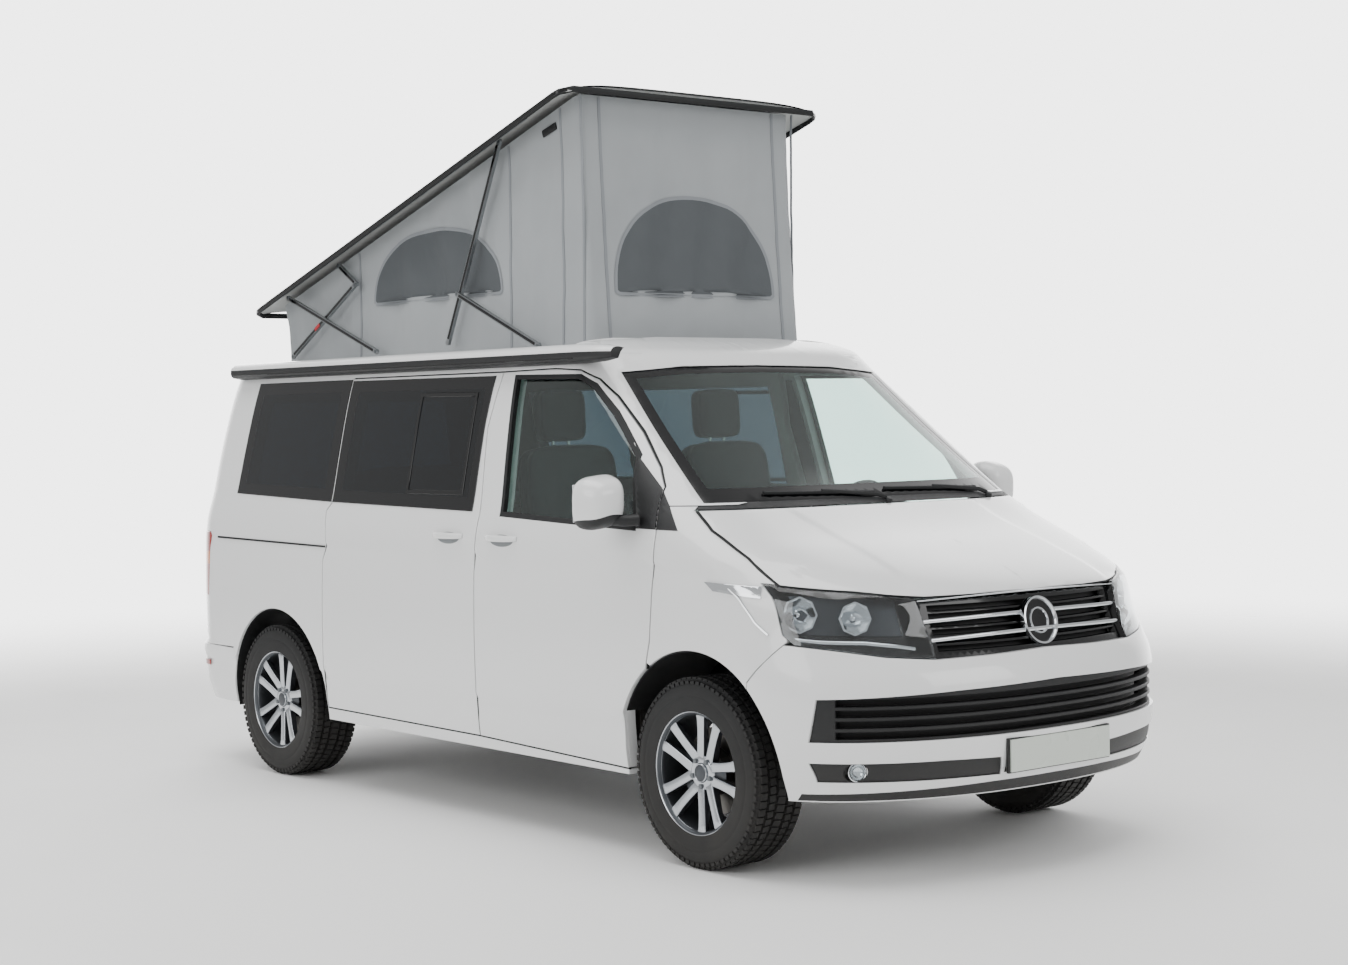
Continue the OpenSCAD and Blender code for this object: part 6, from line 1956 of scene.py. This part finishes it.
class VAN_OT_underbody(bpy.types.Operator):
    """Finishes of the floor, structure, engine, axles and cowl, and the wiper arms"""

    bl_idname = "van.underbody"
    bl_label = "Underbody and cowl"

    def execute(self, context):
        for key, names in (("chassis", ("floor_pan", "front_structure", "front_suspension", "rear_axle")),
                           ("cast", ("engine_block", "knuckle_right", "knuckle_left")),
                           ("zinc", ("exhaust_and_tank",))):
            for name in names:
                dress(name, key)
        made = []
        for y0, reach in ((30, 560), (620, 545)):
            pivot = spot(u_end(y0, 1300, False), 1290, -8)
            arm = [(y0, 1298), (y0 - 30, 1312), (y0 - 200, 1326), (y0 - 330, 1334)]
            # The arm stops one point short of its last mark.
            path = [tuple(spot(u_end(y, z, False), z, -11)) for y, z in dense(arm, 25)[:14]]
            made.append(sweep("arm", path, oval(10, 16, 10, 3), FINISH["grained"]))
            blade = [(y0 - 30 - t * (reach - 30), 1320 + 12 * t) for t in np.linspace(0, 1, 20)]
            path = [tuple(spot(u_end(y, z, False), z, -4))
                    for y, z in blade]
            made.append(sweep("blade", path, oval(14, 14, 10, 2.6), FINISH["rubber"]))
            made.append(lathe("cap", [(-12, 0.0), (-12, 13), (4, 13), (8, 10), (9, 0.0)], pivot,
                              (0.5, 0, 0.86), FINISH["grained"], 24))
        band = dense([(-1060, 1281), (1060, 1281), (1060, 1304), (-1060, 1304)], 30)
        tray = panel_parts([band], depth=(6, 40), edge=2, step=(30, 8), pressed=False)
        place(panel("cowl_tray", [FINISH["grained"]], tray), "van_body", "black_plastic",
              ["cowl_and_wipers"])
        place(joined("wiper_arms", made), "van_body", "black_plastic")
        return {"FINISHED"}


class VAN_OT_stage(bpy.types.Operator):
    """Camera, plain pale floor and soft studio lights"""

    bl_idname = "van.stage"
    bl_label = "Stage"

    def execute(self, context):
        looks = context.scene.van_finish
        scene = context.scene
        cam = bpy.data.cameras.new("camera")
        holder = bpy.data.objects.new("camera", cam)
        scene.collection.objects.link(holder)
        yaw, pitch, roll = math.radians(140.438), math.radians(-1.674), math.radians(-0.913)
        f = Vector((math.cos(yaw) * math.cos(pitch), math.sin(yaw) * math.cos(pitch), math.sin(pitch)))
        r = f.cross(Vector((0, 0, 1))).normalized()
        u = r.cross(f)
        right = r * math.cos(roll) + u * math.sin(roll)
        up = u * math.cos(roll) - r * math.sin(roll)
        m = Matrix((right, up, -f)).transposed().to_4x4()
        m.translation = (7.575, -5.949, 1.614)
        holder.matrix_world = m
        cam.lens, cam.sensor_width = looks.lens, 36
        cam.shift_x = -0.0055
        cam.clip_end = 300
        scene.camera = holder
        floor = mesh_object("floor", [(-60000, -60000, 0), (60000, -60000, 0), (60000, 60000, 0),
                                      (-60000, 60000, 0)], [(0, 1, 2, 3)], [], sharp=0)
        floor.data.materials.append(self.ground())
        world = bpy.data.worlds.new("studio")
        scene.world = world
        world.use_nodes = True
        tree = world.node_tree
        where = node(tree, "ShaderNodeTexCoord").outputs["Generated"]
        ahead = node(tree, "ShaderNodeVectorMath", {"operation": "DOT_PRODUCT"})
        tree.links.new(where, ahead.inputs[0])
        ahead.inputs[1].default_value = (f.x, f.y, 0.0)
        glow = node(tree, "ShaderNodeMapRange", Value=ahead.outputs["Value"], From_Min=0.6, From_Max=0.9,
                    To_Min=looks.sky, To_Max=looks.backdrop)
        tree.links.new(glow.outputs["Result"], tree.nodes["Background"].inputs["Strength"])
        tree.nodes["Background"].inputs["Color"].default_value = (1.0, 1.0, 1.0, 1)
        # Each light: name, place, aim, size and power in watts.
        lights = [("overhead", (0.5, -1.5, 7.5), (0, 0, 0.8), (9, 5), 420),
                  ("side", (1, -9, 4.2), (0, 0, 1.0), (8, 3.5), 260),
                  ("nose", (9.5, 2.5, 4.5), (1.5, 0, 0.9), (5, 3), 160),
                  ("rear", (-8.5, 3, 4), (-1, 0, 1), (5, 3), 120)]
        for name, at, to, size, power in lights:
            data = bpy.data.lights.new(name, "AREA")
            data.shape, data.size, data.size_y = "RECTANGLE", size[0], size[1]
            data.energy = power * looks.light
            o = bpy.data.objects.new(name, data)
            o.location = at
            o.rotation_mode = "QUATERNION"
            o.rotation_quaternion = (Vector(to) - Vector(at)).to_track_quat("-Z", "Y")
            scene.collection.objects.link(o)
        return {"FINISHED"}

    def ground(self):
        """Matt white studio floor that fades into the backdrop well away from the van."""
        made = surface_material("floor_matt_white", "fbfbfa", 0.9, patch=0.01)
        tree = made.node_tree
        out = next(n for n in tree.nodes if n.type == "OUTPUT_MATERIAL")
        solid = next(n for n in tree.nodes if n.type == "BSDF_PRINCIPLED")
        where = node(tree, "ShaderNodeTexCoord").outputs["Object"]
        far = node(tree, "ShaderNodeVectorMath", {"operation": "LENGTH"})
        tree.links.new(where, far.inputs[0])
        fade = node(tree, "ShaderNodeMapRange", {"interpolation_type": "SMOOTHSTEP"},
                    Value=far.outputs["Value"], From_Min=4.5, From_Max=11.0, To_Min=0.0, To_Max=1.0)
        clear = node(tree, "ShaderNodeBsdfTransparent")
        mix = node(tree, "ShaderNodeMixShader")
        tree.links.new(fade.outputs["Result"], mix.inputs[0])
        tree.links.new(solid.outputs[0], mix.inputs[1])
        tree.links.new(clear.outputs[0], mix.inputs[2])
        tree.links.new(mix.outputs[0], out.inputs["Surface"])
        return made


# ---------------------------------------------------------------- properties, panel and registration


class VanFinish(bpy.types.PropertyGroup):
    """Sizes and colours that a user would change"""

    paint: FloatVectorProperty(name="Paint", description="Body colour, as sRGB", subtype="COLOR", size=3,
                               min=0, max=1, default=(0.93, 0.935, 0.935))
    canvas: FloatVectorProperty(name="Tent cloth", description="Colour of the tent's cloth, as sRGB",
                                subtype="COLOR", size=3, min=0, max=1, default=(0.635, 0.65, 0.66))
    tent_slack: FloatProperty(name="Tent slack", description="Share of the cloth's full folds", min=0,
                              max=1.5, default=1.0)
    seam_width: FloatProperty(name="Seam width", description="Width of a flat-felled seam",
                              subtype="DISTANCE", unit="LENGTH", default=0.014, min=0.005, max=0.03)
    tread_blocks: IntProperty(name="Tread blocks", description="Blocks round a tyre in each row",
                              default=72, min=40, max=110)
    lens: FloatProperty(name="Lens", description="Focal length of the camera", default=59.03, min=20, max=120,
                        unit="CAMERA")
    sky: FloatProperty(name="Surroundings", description="Strength of the studio's even light", default=0.62,
                       min=0, max=3)
    backdrop: FloatProperty(name="Backdrop", description="Strength of the white wall behind the van",
                            default=4.2, min=0, max=8)
    light: FloatProperty(name="Lights", description="Strength of the soft lights", default=1.0, min=0, max=5)


BUILDERS = (VAN_OT_stage, VAN_OT_fixed_body, VAN_OT_doors, VAN_OT_glazing, VAN_OT_grilles, VAN_OT_lamps,
            VAN_OT_mirrors, VAN_OT_awning, VAN_OT_roof_panel, VAN_OT_tent, VAN_OT_linkage, VAN_OT_wheels,
            VAN_OT_arch_liners, VAN_OT_interior, VAN_OT_underbody)


class VAN_PT_looks(bpy.types.Panel):
    """Lists the builders of the van's pieces"""

    bl_idname = "VAN_PT_looks"
    bl_label = "Camper van"
    bl_space_type = "VIEW_3D"
    bl_region_type = "UI"
    bl_category = "Camper van"

    def draw(self, context):
        looks = context.scene.van_finish
        for name in VanFinish.__annotations__:
            self.layout.prop(looks, name)
        for builder in BUILDERS:
            self.layout.operator(builder.bl_idname)


def register():
    for cls in (VanFinish, *BUILDERS, VAN_PT_looks):
        bpy.utils.register_class(cls)
    bpy.types.Scene.van_finish = PointerProperty(type=VanFinish)


def unregister():
    del bpy.types.Scene.van_finish
    for cls in (VAN_PT_looks, *reversed(BUILDERS), VanFinish):
        bpy.utils.unregister_class(cls)


def main():
    register()
    for builder in BUILDERS:
        group, name = builder.bl_idname.split(".")
        getattr(getattr(bpy.ops, group), name)()


if __name__ == "__main__":
    main()
